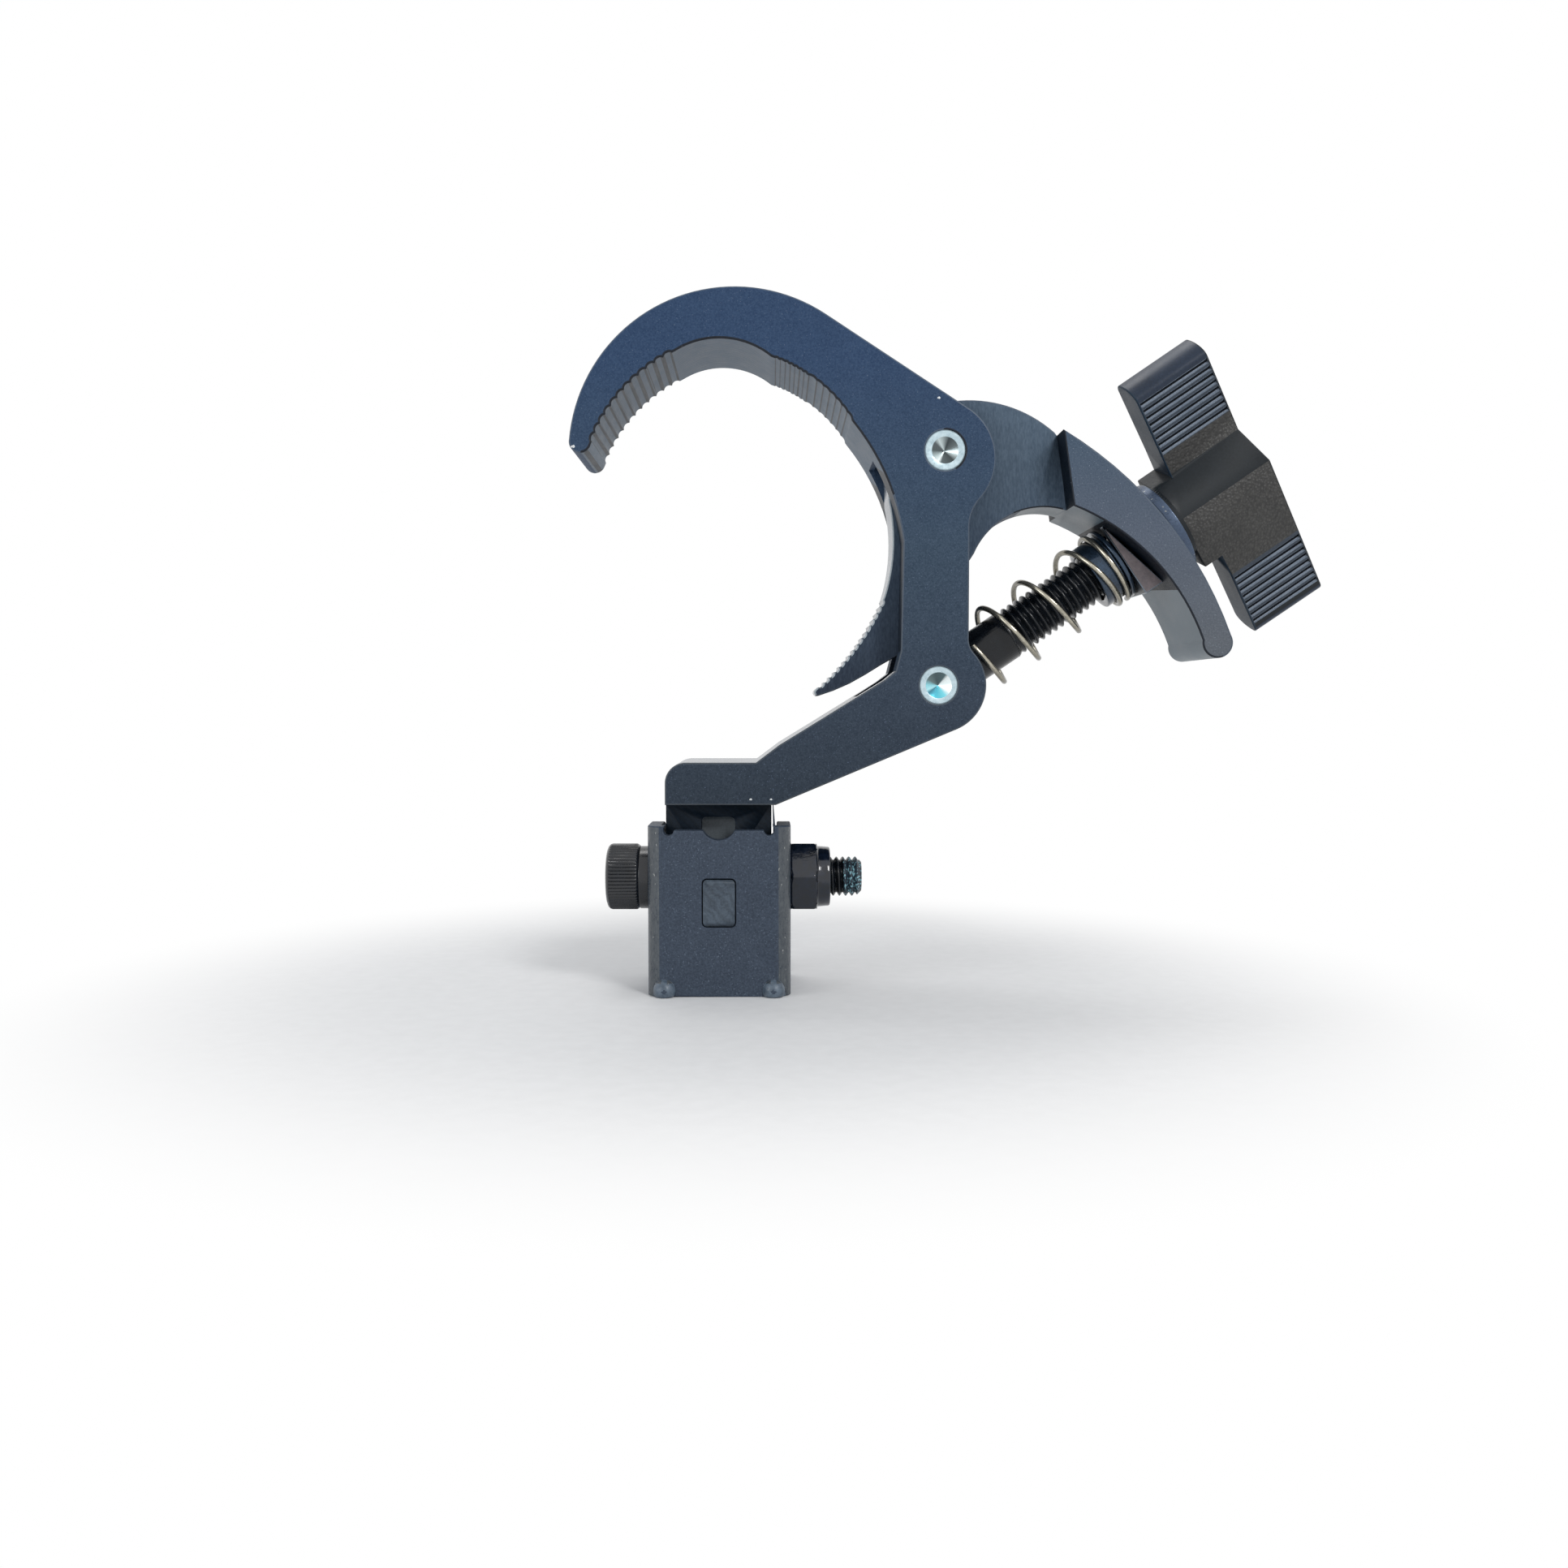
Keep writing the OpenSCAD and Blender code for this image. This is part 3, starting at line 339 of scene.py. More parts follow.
# The grip's ridges carry a painted highlight and its groove floors a painted shade.
RIDGE = material("knob_ridge", (98, 110, 126), (134, 145, 158), (0.26, 0.38), bump=0.3,
                 specular=0.4)
GROOVE = material("knob_groove", (2, 5, 12), (9, 14, 22), (0.5, 0.6), bump=0.2, specular=0.1)
KNOB_TIP = material("knob_tip", (20, 32, 48), (32, 46, 66), (0.28, 0.38), bump=0.12, blotch=140,
                    specular=0.35, depth=0.02)
# The nut's blue tint is a painted reflection.
NUT = material("nut_black", (3, 8, 16), (14, 26, 44), (0.08, 0.2), bump=0.9,
               blotch=700, grain=900, depth=0.06, coat=0.4, specular=0.5)
NYLON = material("nylon", (96, 120, 138), (132, 156, 170), (0.35, 0.5), bump=0.3)
PATCH = material("locking_patch", (14, 22, 30), (40, 56, 70), (0.3, 0.5), bump=1.0, grain=3000,
                 speck=(146, 196, 208), speck_scale=1700, speck_size=0.06, depth=0.08)
HEAD = material("screw_black", (6, 9, 13), (20, 25, 34), (0.2, 0.34), bump=0.35,
                blotch=380, coat=0.25)
STEEL = material("dark_steel", (52, 56, 62), (84, 88, 94), (0.28, 0.4), metal=0.8, bump=0.3)
ALLOY = material("insert_steel", (120, 122, 124), (158, 160, 160), (0.25, 0.4), metal=0.85,
                 bump=0.3)
CHIP = material("bare_chip", (196, 200, 202), (232, 234, 232), (0.35, 0.5), metal=0.2, bump=0.5)


def sectors(name, centre, stops):
    """A turned cone: light and dark sectors round an axis along Y through a point, which are
    painted highlights and reflections.
    """
    m = material(name, (120, 130, 134), (150, 160, 164), (0.16, 0.26), metal=0.8, bump=0.1)
    tree = m.node_tree
    shader = next(n for n in tree.nodes if n.type == "BSDF_PRINCIPLED")
    place, shift, round_it, ramp = (tree.nodes.new("ShaderNode" + k) for k in (
        "TexCoord", "Mapping", "TexGradient", "ValToRGB"))
    shift.vector_type = "TEXTURE"
    shift.inputs["Location"].default_value = centre
    shift.inputs["Rotation"].default_value = (math.pi / 2, 0, 0)
    round_it.gradient_type = "RADIAL"
    tree.links.new(place.outputs["Object"], shift.inputs[0])
    tree.links.new(shift.outputs[0], round_it.inputs[0])
    tree.links.new(round_it.outputs[0], ramp.inputs[0])
    marks = ramp.color_ramp.elements
    for _ in stops[2:]:
        marks.new(0.5)
    for mark, (at, colour) in zip(marks, stops):
        mark.position, mark.color = at, srgb(colour)
    tree.links.new(ramp.outputs[0], shader.inputs["Base Color"])
    return m


UPPER_CONE = sectors("cone_upper", UPPER, [
    (0.0, (86, 96, 98)), (0.1, (190, 206, 208)), (0.16, (236, 246, 246)), (0.2, (96, 106, 108)),
    (0.36, (70, 78, 80)), (0.46, (206, 220, 222)), (0.52, (110, 120, 122)), (0.7, (64, 72, 76)),
    (0.84, (196, 210, 212)), (0.9, (92, 100, 104)), (1.0, (86, 96, 98))])
LOWER_CONE = sectors("cone_lower", LOWER, [
    (0.0, (150, 216, 228)), (0.06, (178, 232, 240)), (0.1, (70, 130, 150)), (0.22, (90, 190, 210)),
    (0.34, (130, 220, 234)), (0.4, (226, 244, 246)), (0.62, (240, 248, 248)),
    (0.66, (96, 116, 120)), (0.8, (84, 100, 104)), (0.92, (104, 122, 124)),
    (1.0, (150, 216, 228))])


# ---- mesh tools -------------------------------------------------------------
def solid(node, merge=0.05):
    """A CAD node's mesh with its flat faces whole."""
    bm = bmesh.new()
    bm.from_mesh(NODES[node].data)
    bmesh.ops.remove_doubles(bm, verts=bm.verts, dist=merge * MM)
    bmesh.ops.dissolve_degenerate(bm, edges=bm.edges, dist=0.01 * MM)
    bmesh.ops.recalc_face_normals(bm, faces=bm.faces)
    for f in bm.faces:
        f.material_index = 0
    return bm


def fill_flat(bm, frame_matrix, level, loops, index):
    """Fills the space between closed loops of vertices in a plane with well-shaped triangles."""
    inverse = frame_matrix.inverted()
    points, edges, verts = [], [], []
    for loop in loops:
        first = len(points)
        for i, v in enumerate(loop):
            q = (inverse @ v.co) / MM
            points.append(Vector((q.x, q.y)))
            edges.append((first + i, first + (i + 1) % len(loop)))
            verts.append(v)
    got, _, tris, source, _, _ = delaunay_2d_cdt(points, edges, [], 0, 1e-5)
    a = np.array([points[i] for i, _ in edges])
    b = np.array([points[j] for _, j in edges])
    made = [verts[old[0]] if old else None for old in source]
    for tri in tris:
        c = sum((Vector(got[i]) for i in tri), Vector((0, 0))) / len(tri)
        across = (a[:, 1] > c.y) != (b[:, 1] > c.y)
        x = a[across, 0] + (c.y - a[across, 1]) * (b[across, 0] - a[across, 0]) / (
            b[across, 1] - a[across, 1])
        if np.count_nonzero(x > c.x) % 2 == 0:
            continue
        corner = []
        for i in tri:
            if made[i] is None:
                made[i] = bm.verts.new(frame_matrix @ (Vector((got[i].x, got[i].y, level)) * MM))
            corner.append(made[i])
        if len(set(corner)) == len(corner) and bm.faces.get(corner) is None:
            bm.faces.new(corner).material_index = index


RIM_STEPS = 4      # faces across a rounded rim
FLAT = 0.999       # a cap's normal along its axis
ON_LEVEL = 0.02    # how close to its level a cap lies, in mm
MITRE = 0.45       # least divisor at a corner, so that a sharp one isn't drawn out


def round_rims(bm, frame_matrix, levels, width, index=None):
    """Rounds the rim of each flat side at a level of a frame's z, where its wall falls away.
    levels holds (level in mm, side). width is in mm, or a function of the point and the way
    inward, and index a function of the same two that gives a material's number."""
    inverse = frame_matrix.inverted()
    axis = (frame_matrix.to_3x3() @ Vector((0, 0, 1))).normalized()
    for level, side in levels:
        out = axis * side
        caps = [f for f in bm.faces if f.normal.dot(out) > FLAT
                and abs((inverse @ f.calc_center_median()).z / MM - level) < ON_LEVEL]
        if not caps:
            continue
        cap_set, cap_index, border = set(caps), caps[0].material_index, {}
        for f in caps:
            for loop in f.loops:
                others = [g for g in loop.edge.link_faces if g not in cap_set]
                if others:
                    along = loop.link_loop_next.vert.co - loop.vert.co
                    depth = (inverse @ others[0].calc_center_median()).z / MM - level
                    border[loop.edge] = (f.normal.cross(along).normalized(), depth * side < -0.01)
        bmesh.ops.delete(bm, geom=caps, context="FACES")
        left, loops = dict.fromkeys(border), []
        while left:
            edge = next(iter(left))
            del left[edge]
            v0, v = edge.verts
            ring = [(v0, edge)]
            while v is not v0:
                step = next(e for e in v.link_edges if e in left)
                ring.append((v, step))
                del left[step]
                v = step.other_vert(v)
            loops.append(ring)
        caps_left = []
        for ring in loops:
            n = len(ring)
            rows = [[v for v, _ in ring]]
            lifts = []
            for i, (v, e) in enumerate(ring):
                (d1, low1), (d2, low2) = border[ring[i - 1][1]], border[e]
                inward = (d1 + d2) / max(1 + d1.dot(d2), MITRE)
                w = width(v.co, inward) if callable(width) else width
                w = w if low1 and low2 else 0.0
                lifts.append((v.co.copy(), inward, w * MM))
            for k in range(1, RIM_STEPS + 1):
                t = math.pi / 2 * k / RIM_STEPS
                rows.append([rows[0][i] if w == 0 else bm.verts.new(
                    co + m * w * (1 - math.cos(t)) - out * w * (1 - math.sin(t)))
                    for i, (co, m, w) in enumerate(lifts)])
            for v, (co, m, w) in zip(rows[0], lifts):
                v.co = co - out * w
            for low, high in zip(rows, rows[1:]):
                for i in range(n):
                    j = (i + 1) % n
                    corner = list(dict.fromkeys((low[i], low[j], high[j], high[i])))
                    if len(corner) > 2:
                        f = bm.faces.new(corner)
                        f.material_index = index(*lifts[i][:2]) if index else cap_index
            caps_left.append(rows[-1])
        fill_flat(bm, frame_matrix, level, caps_left, cap_index)
    bmesh.ops.recalc_face_normals(bm, faces=bm.faces)
    return bm


def whole(bm):
    """Joins the triangles of each flat face, so that a bevel runs clean along its edges."""
    bmesh.ops.dissolve_limit(bm, angle_limit=math.radians(0.6), verts=bm.verts, edges=bm.edges,
                             delimit={"MATERIAL"})
    return bm


def tidy(bm):
    """Cuts each large flat face into well-shaped triangles."""
    bm.normal_update()
    for f in [g for g in bm.faces if len(g.verts) > 4]:
        normal, at = f.normal.copy(), f.calc_center_median()
        turn = normal.to_track_quat("Z", "Y").to_matrix().to_4x4()
        turn.translation = at
        index, ring = f.material_index, list(f.verts)
        bm.faces.remove(f)
        fill_flat(bm, turn, 0.0, [ring], index)
    bmesh.ops.recalc_face_normals(bm, faces=bm.faces)
    return bm


def soften(bm, width, angle=30, segments=2, index=None, pick=None):
    """Rounds a mesh's sharp edges, and gives the round faces a material of their own."""
    edges = [e for e in bm.edges if len(e.link_faces) == 2
             and e.calc_face_angle(0) > math.radians(angle) and (pick is None or pick(e))]
    made = bmesh.ops.bevel(bm, geom=edges, offset=width * MM, segments=segments, profile=0.5,
                           affect="EDGES", clamp_overlap=False, loop_slide=True)
    if index is not None:
        for f in made["faces"]:
            f.material_index = index
    return bm


def middle(item):
    """The middle of an edge's or a face's corners."""
    co = [v.co for v in item.verts]
    return sum(co, Vector()) / len(co)


def piece(name, bm, body, materials, nodes=(), smooth=32, weighted=True):
    """Turns a mesh into a piece of the scene that rides on a body."""
    mesh = bpy.data.meshes.new(name)
    bm.to_mesh(mesh)
    bm.free()
    for f in mesh.polygons:
        f.use_smooth = True
    mesh.set_sharp_from_angle(angle=math.radians(smooth))
    for m in materials:
        mesh.materials.append(m)
    obj = bpy.data.objects.new(name, mesh)
    scene.collection.objects.link(obj)
    if weighted:
        w = obj.modifiers.new("weighted", "WEIGHTED_NORMAL")
        w.keep_sharp = True
    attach(obj, body)
    if nodes:
        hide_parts(*nodes)
    return obj


def bevelled(name, node, body, look, width, segments=2, angle=35):
    """A piece that is a CAD node with its sharp edges rounded."""
    return piece(name, tidy(soften(whole(solid(node)), width, angle, segments)), body,
                 [look], [node])


def surface(rows):
    """A closed mesh from rings of points, with a face at each end."""
    bm = bmesh.new()
    rings = [[bm.verts.new(p) for p in row] for row in rows]
    n = len(rings[0])
    for a, b in zip(rings, rings[1:]):
        for i in range(n):
            bm.faces.new((a[i], a[(i + 1) % n], b[(i + 1) % n], b[i]))
    bm.faces.new(list(reversed(rings[0])))
    bm.faces.new(rings[-1])
    bmesh.ops.recalc_face_normals(bm, faces=bm.faces)
    return bm


RUN_IN = 1.5                 # length over which a thread reaches its full depth, in mm
FLANK, TROUGH = 1.35, 0.12    # how steep a thread's flanks are, and how wide its root is


def threads(matrix, start, end, crest, root, pitch, chamfer, around=56, per=8):
    """Rings of a real helical thread along a frame's axis, from start to end in mm. crest and
    root are radii, and per is the number of rings to a turn."""
    rows = []
    count = int((end - start) / pitch * per)
    for i in range(count + 1):
        z = start + (end - start) * i / count
        depth = (crest - root) * min(1.0, (z - start) / RUN_IN)
        limit = crest - max(0.0, chamfer - (end - z))
        row = []
        for k in range(around):
            w = 2 * math.pi * k / around
            t = ((z / pitch - k / around) % 1.0)
            ridge = min(1.0, max(0.0, abs(2 * t - 1) * FLANK - TROUGH))
            r = min(crest - depth * (1 - ridge), limit) * MM
            row.append(matrix @ Vector((r * math.cos(w), r * math.sin(w), z * MM)))
        rows.append(row)
    return rows


# ---- hook body ----------------------------------------------------------------
HOOK_LOOKS = [NAVY, NAVY_EDGE, NAVY_GRIP, SHADOW, KEY, NAVY_RIM, RIB_DARK, TOP, LEDGE]
TONGUE_TOP = -62.0                # below this the hook body is its milled tongue
LEDGE_Y, KEY_Y = -5.7, -12.4      # front of the tongue's pocket, and of the key in the window
GRIP_REACH = 40                   # the grip arcs lie within this radius of the pipe's axis
# A rib's flank turns this much away from the pipe's axis: the left arc, the right arc's lower
# flanks, and the most for either.
RIB_STEEP_LEFT, RIB_STEEP_LOW, RIB_STEEP_MOST = 0.5, 0.34, 0.85
ARM_TOP_Z, POST_X = -30, 36       # the foot's and the arm's upper side lie below and left of these
RIM_REACH, RIM_LOW = 45, -2       # the hook's inner rim lies within this radius, above this z
bm = solid("hook_body", merge=0.1)
for f in bm.faces:
    c, n = f.calc_center_median() / MM, f.normal
    to_axis = Vector((-c.x, 0, -c.z)).normalized()
    wall = abs(n.y) < SIDEWAYS
    look = NAVY
    # The tongue gets a painted shadow, and its pocket's back a lighter colour as painted light; the
    # key keeps its own colour.
    if c.z < TONGUE_TOP:
        if abs(c.y - LEDGE_Y) < NEAR and n.y < -0.9:
            look = LEDGE
        else:
            look = SHADOW if abs(c.y - KEY_Y) > NEAR else KEY
    elif wall and n.dot(to_axis) > 0.3 and math.hypot(c.x, c.z) < GRIP_REACH:
        across = n - to_axis * n.dot(to_axis)
        steep = RIB_STEEP_LEFT if c.x < 0 else RIB_STEEP_LOW if across.z < 0 else 1
        look = RIB_DARK if steep < across.length < RIB_STEEP_MOST else NAVY_GRIP
    # Up-facing faces of the foot and arm get the painted highlight.
    elif wall and n.z > 0.5 and c.z < ARM_TOP_Z and c.x < POST_X:
        look = TOP
    f.material_index = HOOK_LOOKS.index(look)


def inside(co, inward):
    """Whether a rim runs along the inside of the hook, above the post."""
    p = Vector((co.x, 0, co.z))
    return (inward.dot(p.normalized()) > 0.3 and p.length < RIM_REACH * MM
            and co.z > RIM_LOW * MM)


def hook_rim(co, inward):
    """The rims: a painted shade along the inside of the hook, and elsewhere a lighter navy that is
    a painted highlight.
    """
    return HOOK_LOOKS.index(NAVY_EDGE if inside(co, inward) else NAVY_RIM)


round_rims(bm, PLATE, SIDES, lambda co, inward: 0.4 if inside(co, inward) else 0.28, hook_rim)
hook = piece("hook_frame", bm, "hook", HOOK_LOOKS, ["hook_body"], smooth=30)

# ---- pins: turned ends, with painted highlights and reflections in the cone ---
CONE_DEEP = 1.5


def pin(name, centre, radius, cone, node, inside_cone):
    """A pin across the clamp with a turned cone of a given radius in each end."""
    ends = [(0.02, HALF - CONE_DEEP), (cone * 0.5, HALF - CONE_DEEP * 0.52), (cone, HALF - 0.05),
            (cone + 0.12, HALF), (radius - 0.2, HALF), (radius, HALF - 0.2)]
    rows = [[Vector((centre.x + r * MM * math.cos(t), y * MM, centre.z + r * MM * math.sin(t)))
             for t in circle(48)]
            for r, y in [(a, -b) for a, b in ends] + [(a, b) for a, b in reversed(ends)]]
    bm = surface(rows)
    for f in bm.faces:
        c = f.calc_center_median()
        d = math.hypot(c.x - centre.x, c.z - centre.z) / MM
        if d < cone * 0.98 and abs(c.y) / MM > 9:
            f.material_index = 1
    return piece(name, bm, "hook", [PIN, inside_cone], [node], smooth=25,
                 weighted=False)


upper_pin = pin("upper_pin_turned", UPPER, 3.85, 2.55, "upper_pivot_pin", UPPER_CONE)
lower_pin = pin("lower_pin_turned", LOWER, 3.65, 2.5, "lower_pivot_pin", LOWER_CONE)

# ---- jaw lever ------------------------------------------------------------------
LEVER_LOOKS = [NAVY_ARM, NAVY_EDGE, NAVY_BRUSHED, TEETH, UNDER, PAINTED_SHADE, NAVY_RIM, JAW_GRIP]
CORE = 5.5          # half of the lever's thickness between the cheeks
JAW_X = 31          # the jaw lies at less than this x
ARM_X = 44          # the arm lies at more than this x
STEP = (61, 65)     # where the core widens to the arm
PAINTED_SHADE_ACROSS, PAINTED_SHADE_ALONG = (-8, 9.4), 52    # the painted shade beside the wedge under the arm, across and along the bolt
bm = solid("lever_jaw", merge=0.1)
for f in bm.faces:
    c, n = f.calc_center_median() / MM, f.normal
    q = TO_BOLT @ f.calc_center_median() / MM
    wall = abs(n.y) < SIDEWAYS
    look = NAVY_ARM
    if abs(abs(c.y) - CORE) < NEAR and abs(n.y) > 0.9:
        look = NAVY_BRUSHED
    elif wall and c.x < JAW_X and n.x < -0.5:
        look = JAW_GRIP
    # The shoulder's face gets the near black painted shade.
    elif wall and STEP[0] < c.x < STEP[1] and n.x < -0.9:
        look = PAINTED_SHADE
    elif wall and c.x > ARM_X and n.dot(ALONG) < -0.3:
        # Beside the wedge the arm's underside gets the near black painted shade.
        shaded = PAINTED_SHADE_ACROSS[0] < q.x < PAINTED_SHADE_ACROSS[1] and q.z < PAINTED_SHADE_ALONG
        look = PAINTED_SHADE if shaded else UNDER
    f.material_index = LEVER_LOOKS.index(look)


def lever_rim(co, inward):
    """The rims: light along the jaw's teeth as a painted highlight, a painted shade under the arm,
    and elsewhere a lighter navy that is a painted highlight.
    """
    if co.x < JAW_X * MM and inward.x > 0.4:
        return LEVER_LOOKS.index(TEETH)
    under = inward.dot(ALONG) > 0.2 and co.x > ARM_X * MM
    return LEVER_LOOKS.index(NAVY_EDGE if under else NAVY_RIM)


for levels, width in ((SIDES, 0.34), (((-CORE, -1), (CORE, 1)), 0.28)):
    round_rims(bm, PLATE, levels, width, lever_rim)
lever = piece("lever_plate", bm, "lever", LEVER_LOOKS, ["lever_jaw"],
              smooth=30)

WEDGE_LOOKS = [WEDGE, WEDGE_DARK, WEDGE_RIM]
bm = solid("wedge_washer")
# The wedge's sides get the dark painted shade, and its rounded rims the light painted highlight.
for f in bm.faces:
    if abs(f.normal.y) < 0.5:
        f.material_index = WEDGE_LOOKS.index(WEDGE_DARK)
soften(whole(bm), 0.2, index=WEDGE_LOOKS.index(WEDGE_RIM))
piece("wedge_plate", tidy(bm), "lever", WEDGE_LOOKS, ["wedge_washer"])

# ---- eye bolt -------------------------------------------------------------------
SHANK_END, THREAD_START = 18.2, 18.0    # they overlap a little, in mm from the lower pivot
bolt_end = span("eye_bolt", BOLT)[1]
bm = solid("eye_bolt")
bmesh.ops.bisect_plane(bm, geom=bm.verts[:] + bm.edges[:] + bm.faces[:],
                       plane_co=BOLT @ Vector((0, 0, SHANK_END * MM)), plane_no=ALONG,
                       clear_outer=True)
bmesh.ops.contextual_create(bm, geom=[e for e in bm.edges if e.is_boundary])
bmesh.ops.recalc_face_normals(bm, faces=bm.faces)
piece("bolt_eye", tidy(soften(whole(bm), 0.3, 35)), "bolt", [BLACK], ["eye_bolt"])
bm = surface(threads(BOLT, THREAD_START, bolt_end, crest=4.92, root=4.15, pitch=1.5, chamfer=0.9))
piece("bolt_thread", bm, "bolt", [BLACK], ["eye_bolt"], smooth=50, weighted=False)
bevelled("ring_split", "retaining_ring", "bolt", STEEL, 0.12, segments=1)

# ---- spring: its pitch grows turn by turn and drops to a last turn on the bush -----
WIRE_D, COIL_R, START_TURN = 1.1, 7.4, 72
PITCH, GROWTH, END_PITCH, CLOSING, END_TURNS = 7.2, 1.4, 1.9, 0.3, 1.0
STEPS_A_TURN, AROUND_WIRE = 48, 14
start, stop = span("coil_spring", BOLT)
start, stop = start + WIRE_D / 2, stop - WIRE_D / 2
half_b = (PITCH + GROWTH * CLOSING / 2) / GROWTH
rest_l = stop - start - (PITCH + END_PITCH) / 2 * CLOSING - END_PITCH * END_TURNS
open_turns = math.sqrt(half_b**2 + 2 * rest_l / GROWTH) - half_b
drop = PITCH + GROWTH * open_turns - END_PITCH
turns = open_turns + CLOSING + END_TURNS
rows = []
steps = int(turns * STEPS_A_TURN)
for i in range(steps + 1):
    w = turns * i / steps
    if w < open_turns:
        a = start + PITCH * w + GROWTH * w * w / 2
    else:
        a = stop - END_PITCH * (turns - w) - drop * max(0, turns - END_TURNS - w)**2 / (2 * CLOSING)
    t = math.radians(START_TURN) + 2 * math.pi * w
    row = []
    for b in circle(AROUND_WIRE):
        r = COIL_R + WIRE_D / 2 * math.cos(b)
        row.append(BOLT @ (Vector((-r * math.cos(t), -r * math.sin(t),
                                   a + WIRE_D / 2 * math.sin(b))) * MM))
    rows.append(row)
spring = piece("spring_wire", surface(rows), "bolt", [WIRE], ["coil_spring"],
               smooth=60, weighted=False)

# ---- bush and washers -------------------------------------------------------------
bevelled("bush_turned", "spring_bush", "bush", BUSH, 0.22, segments=3)
bevelled("knob_washer_turned", "knob_washer", "carriage", WASHER, 0.3)

# ---- wing knob ----------------------------------------------------------------------
KNOB_TURN = math.radians(26.2)
knob_a, knob_end = span("wing_knob", BOLT)


def in_knob(p):
    """A point in the knob's own frame: x along the wings, y towards their backs, in mm."""
    q = TO_BOLT @ p
    c, s = math.cos(-KNOB_TURN), math.sin(-KNOB_TURN)
    return Vector((q.x * c - q.y * s, q.x * s + q.y * c, q.z)) / MM


# In the knob's own frame, in mm: how far the wings' outer and inner faces stand from the axis, how
# far the wings reach, the solid's tip radius and the one shown, how far the back grooves move out,
# and where the leather grain ends.
FACE, BACK, REACH, ROUND, TIP_R, SHIFT, LEATHER = 7.6, 0.5, 28.3, 5.2, 2.6, 3.2, 13.3
GROOVED = (9.6, 22.6)    # where the solid's back grooves run
GROOVE_DEEP, GROOVE_FLOOR = 0.46, 0.4    # how deep a grip groove goes, and where its floor begins
WING_X, TIP_X, STRIP_X, TIP_END = 9, 25.4, 25.6, 27    # from the hub out to the wing's tip
TIP_Y = -6.5             # the tip's round starts behind this, and past TIP_END it is all tip
HUB_R, COLLAR_H = 6.5, 1.2    # the bore, and the round collar at the knob's foot, are smooth
WING_H, BLOCK_H = 16.2, 20.3    # from the knob's top to the underside of the wings and hub block
KNOB_LOOKS = [KNOB, KNOB_SMOOTH, KNOB_WING, RIDGE, KNOB_END, GROOVE, KNOB_TIP]
bm = solid("wing_knob", merge=0.03)
KNOB_FRAME = BOLT @ Matrix.Rotation(KNOB_TURN, 4, "Z")
for v in bm.verts:
    q = in_knob(v.co)
    side = 1 if q.x > 0 else -1
    x, y = q.x * side, q.y * side
    if x > REACH - ROUND - 0.02 and -BACK - ROUND - 0.02 < y:
        x = REACH - TIP_R + (x - REACH + ROUND) * TIP_R / ROUND
    elif GROOVED[0] < x < GROOVED[1] and y > -BACK - 0.5:
        x += SHIFT
    v.co = KNOB_FRAME @ (Vector((x * side, y * side, q.z)) * MM)
for side in (1, -1):
    bmesh.ops.bisect_plane(
        bm, geom=bm.verts[:] + bm.edges[:] + bm.faces[:], dist=1e-6,
        plane_co=KNOB_FRAME @ (Vector((LEATHER * side, 0, 0)) * MM),
        plane_no=KNOB_FRAME.to_3x3() @ Vector((1, 0, 0)))
bm.normal_update()
for f in bm.faces:
    c = in_knob(f.calc_center_median())
    n = in_knob(f.calc_center_median() + f.normal * MM) - c
    side = 1 if c.x > 0 else -1
    x, y = c.x * side, c.y * side
    depth = FACE + y if y < -4 else -BACK - y
    flat = abs(n.y) > 0.98
    if abs(n.z) > 0.9:
        look = KNOB_END if x > WING_X and depth > 0.5 else KNOB_SMOOTH
    elif math.hypot(c.x, c.y) < HUB_R or c.z < knob_a + COLLAR_H:
        look = KNOB_SMOOTH
    elif x > TIP_X and (y > TIP_Y or x > TIP_END):
        look = KNOB_TIP
    elif x > STRIP_X and flat and y < -4:
        look = KNOB_SMOOTH
    elif x > LEATHER and depth < 0.02:
        look = KNOB_WING
    # Groove floors get the painted shade, and the groove sides the painted highlight.
    elif x > LEATHER and depth < GROOVE_DEEP:
        look = GROOVE if depth > GROOVE_FLOOR else RIDGE
    else:
        look = KNOB if flat else KNOB_SMOOTH
    f.material_index = KNOB_LOOKS.index(look)


def knob_width(p, inward):
    """The rims are narrower at the bore."""
    q = in_knob(p)
    return 0.2 if math.hypot(q.x, q.y) < 6.8 else 0.3


round_rims(bm, KNOB_FRAME, ((knob_end, 1), (knob_end - WING_H, -1), (knob_end - BLOCK_H, -1)),
           knob_width)
knob = piece("knob_moulded", bm, "knob", KNOB_LOOKS, ["wing_knob"], smooth=30)
bevelled("knob_insert_steel", "knob_insert", "knob", ALLOY, 0.2)

# ---- bracket --------------------------------------------------------------------------
BRACKET_LOOKS = [BRACKET, BEND, WELD]
BRACKET_X, WELD_OUT = -3.85, 10.6    # the bracket's middle, and the weld beads to each side of it
BASE_Z, BEND_Z, BEVEL_Z, WELD_Z = -98.4, -96, -95, -93    # heights near the bracket's base
bm = solid("mounting_bracket")
for f in bm.faces:
    n = f.normal
    c = f.calc_center_median() / MM
    if 0.25 < abs(n.x) < 0.97 and n.y < -0.2 and c.z > BEND_Z:
        f.material_index = BRACKET_LOOKS.index(BEND)
    elif (c.z < WELD_Z and abs(abs(c.x - BRACKET_X) - WELD_OUT) < 2.6
          and abs(n.x) + abs(n.z) > 0.25):
        f.material_index = BRACKET_LOOKS.index(WELD)
soften(whole(bm), 0.25, 40, pick=lambda e: min(v.co.z for v in e.verts) / MM > BASE_Z
       and middle(e).z / MM > BEVEL_Z)
piece("bracket_folded", tidy(bm), "hook", BRACKET_LOOKS, ["mounting_bracket"],
      smooth=30)

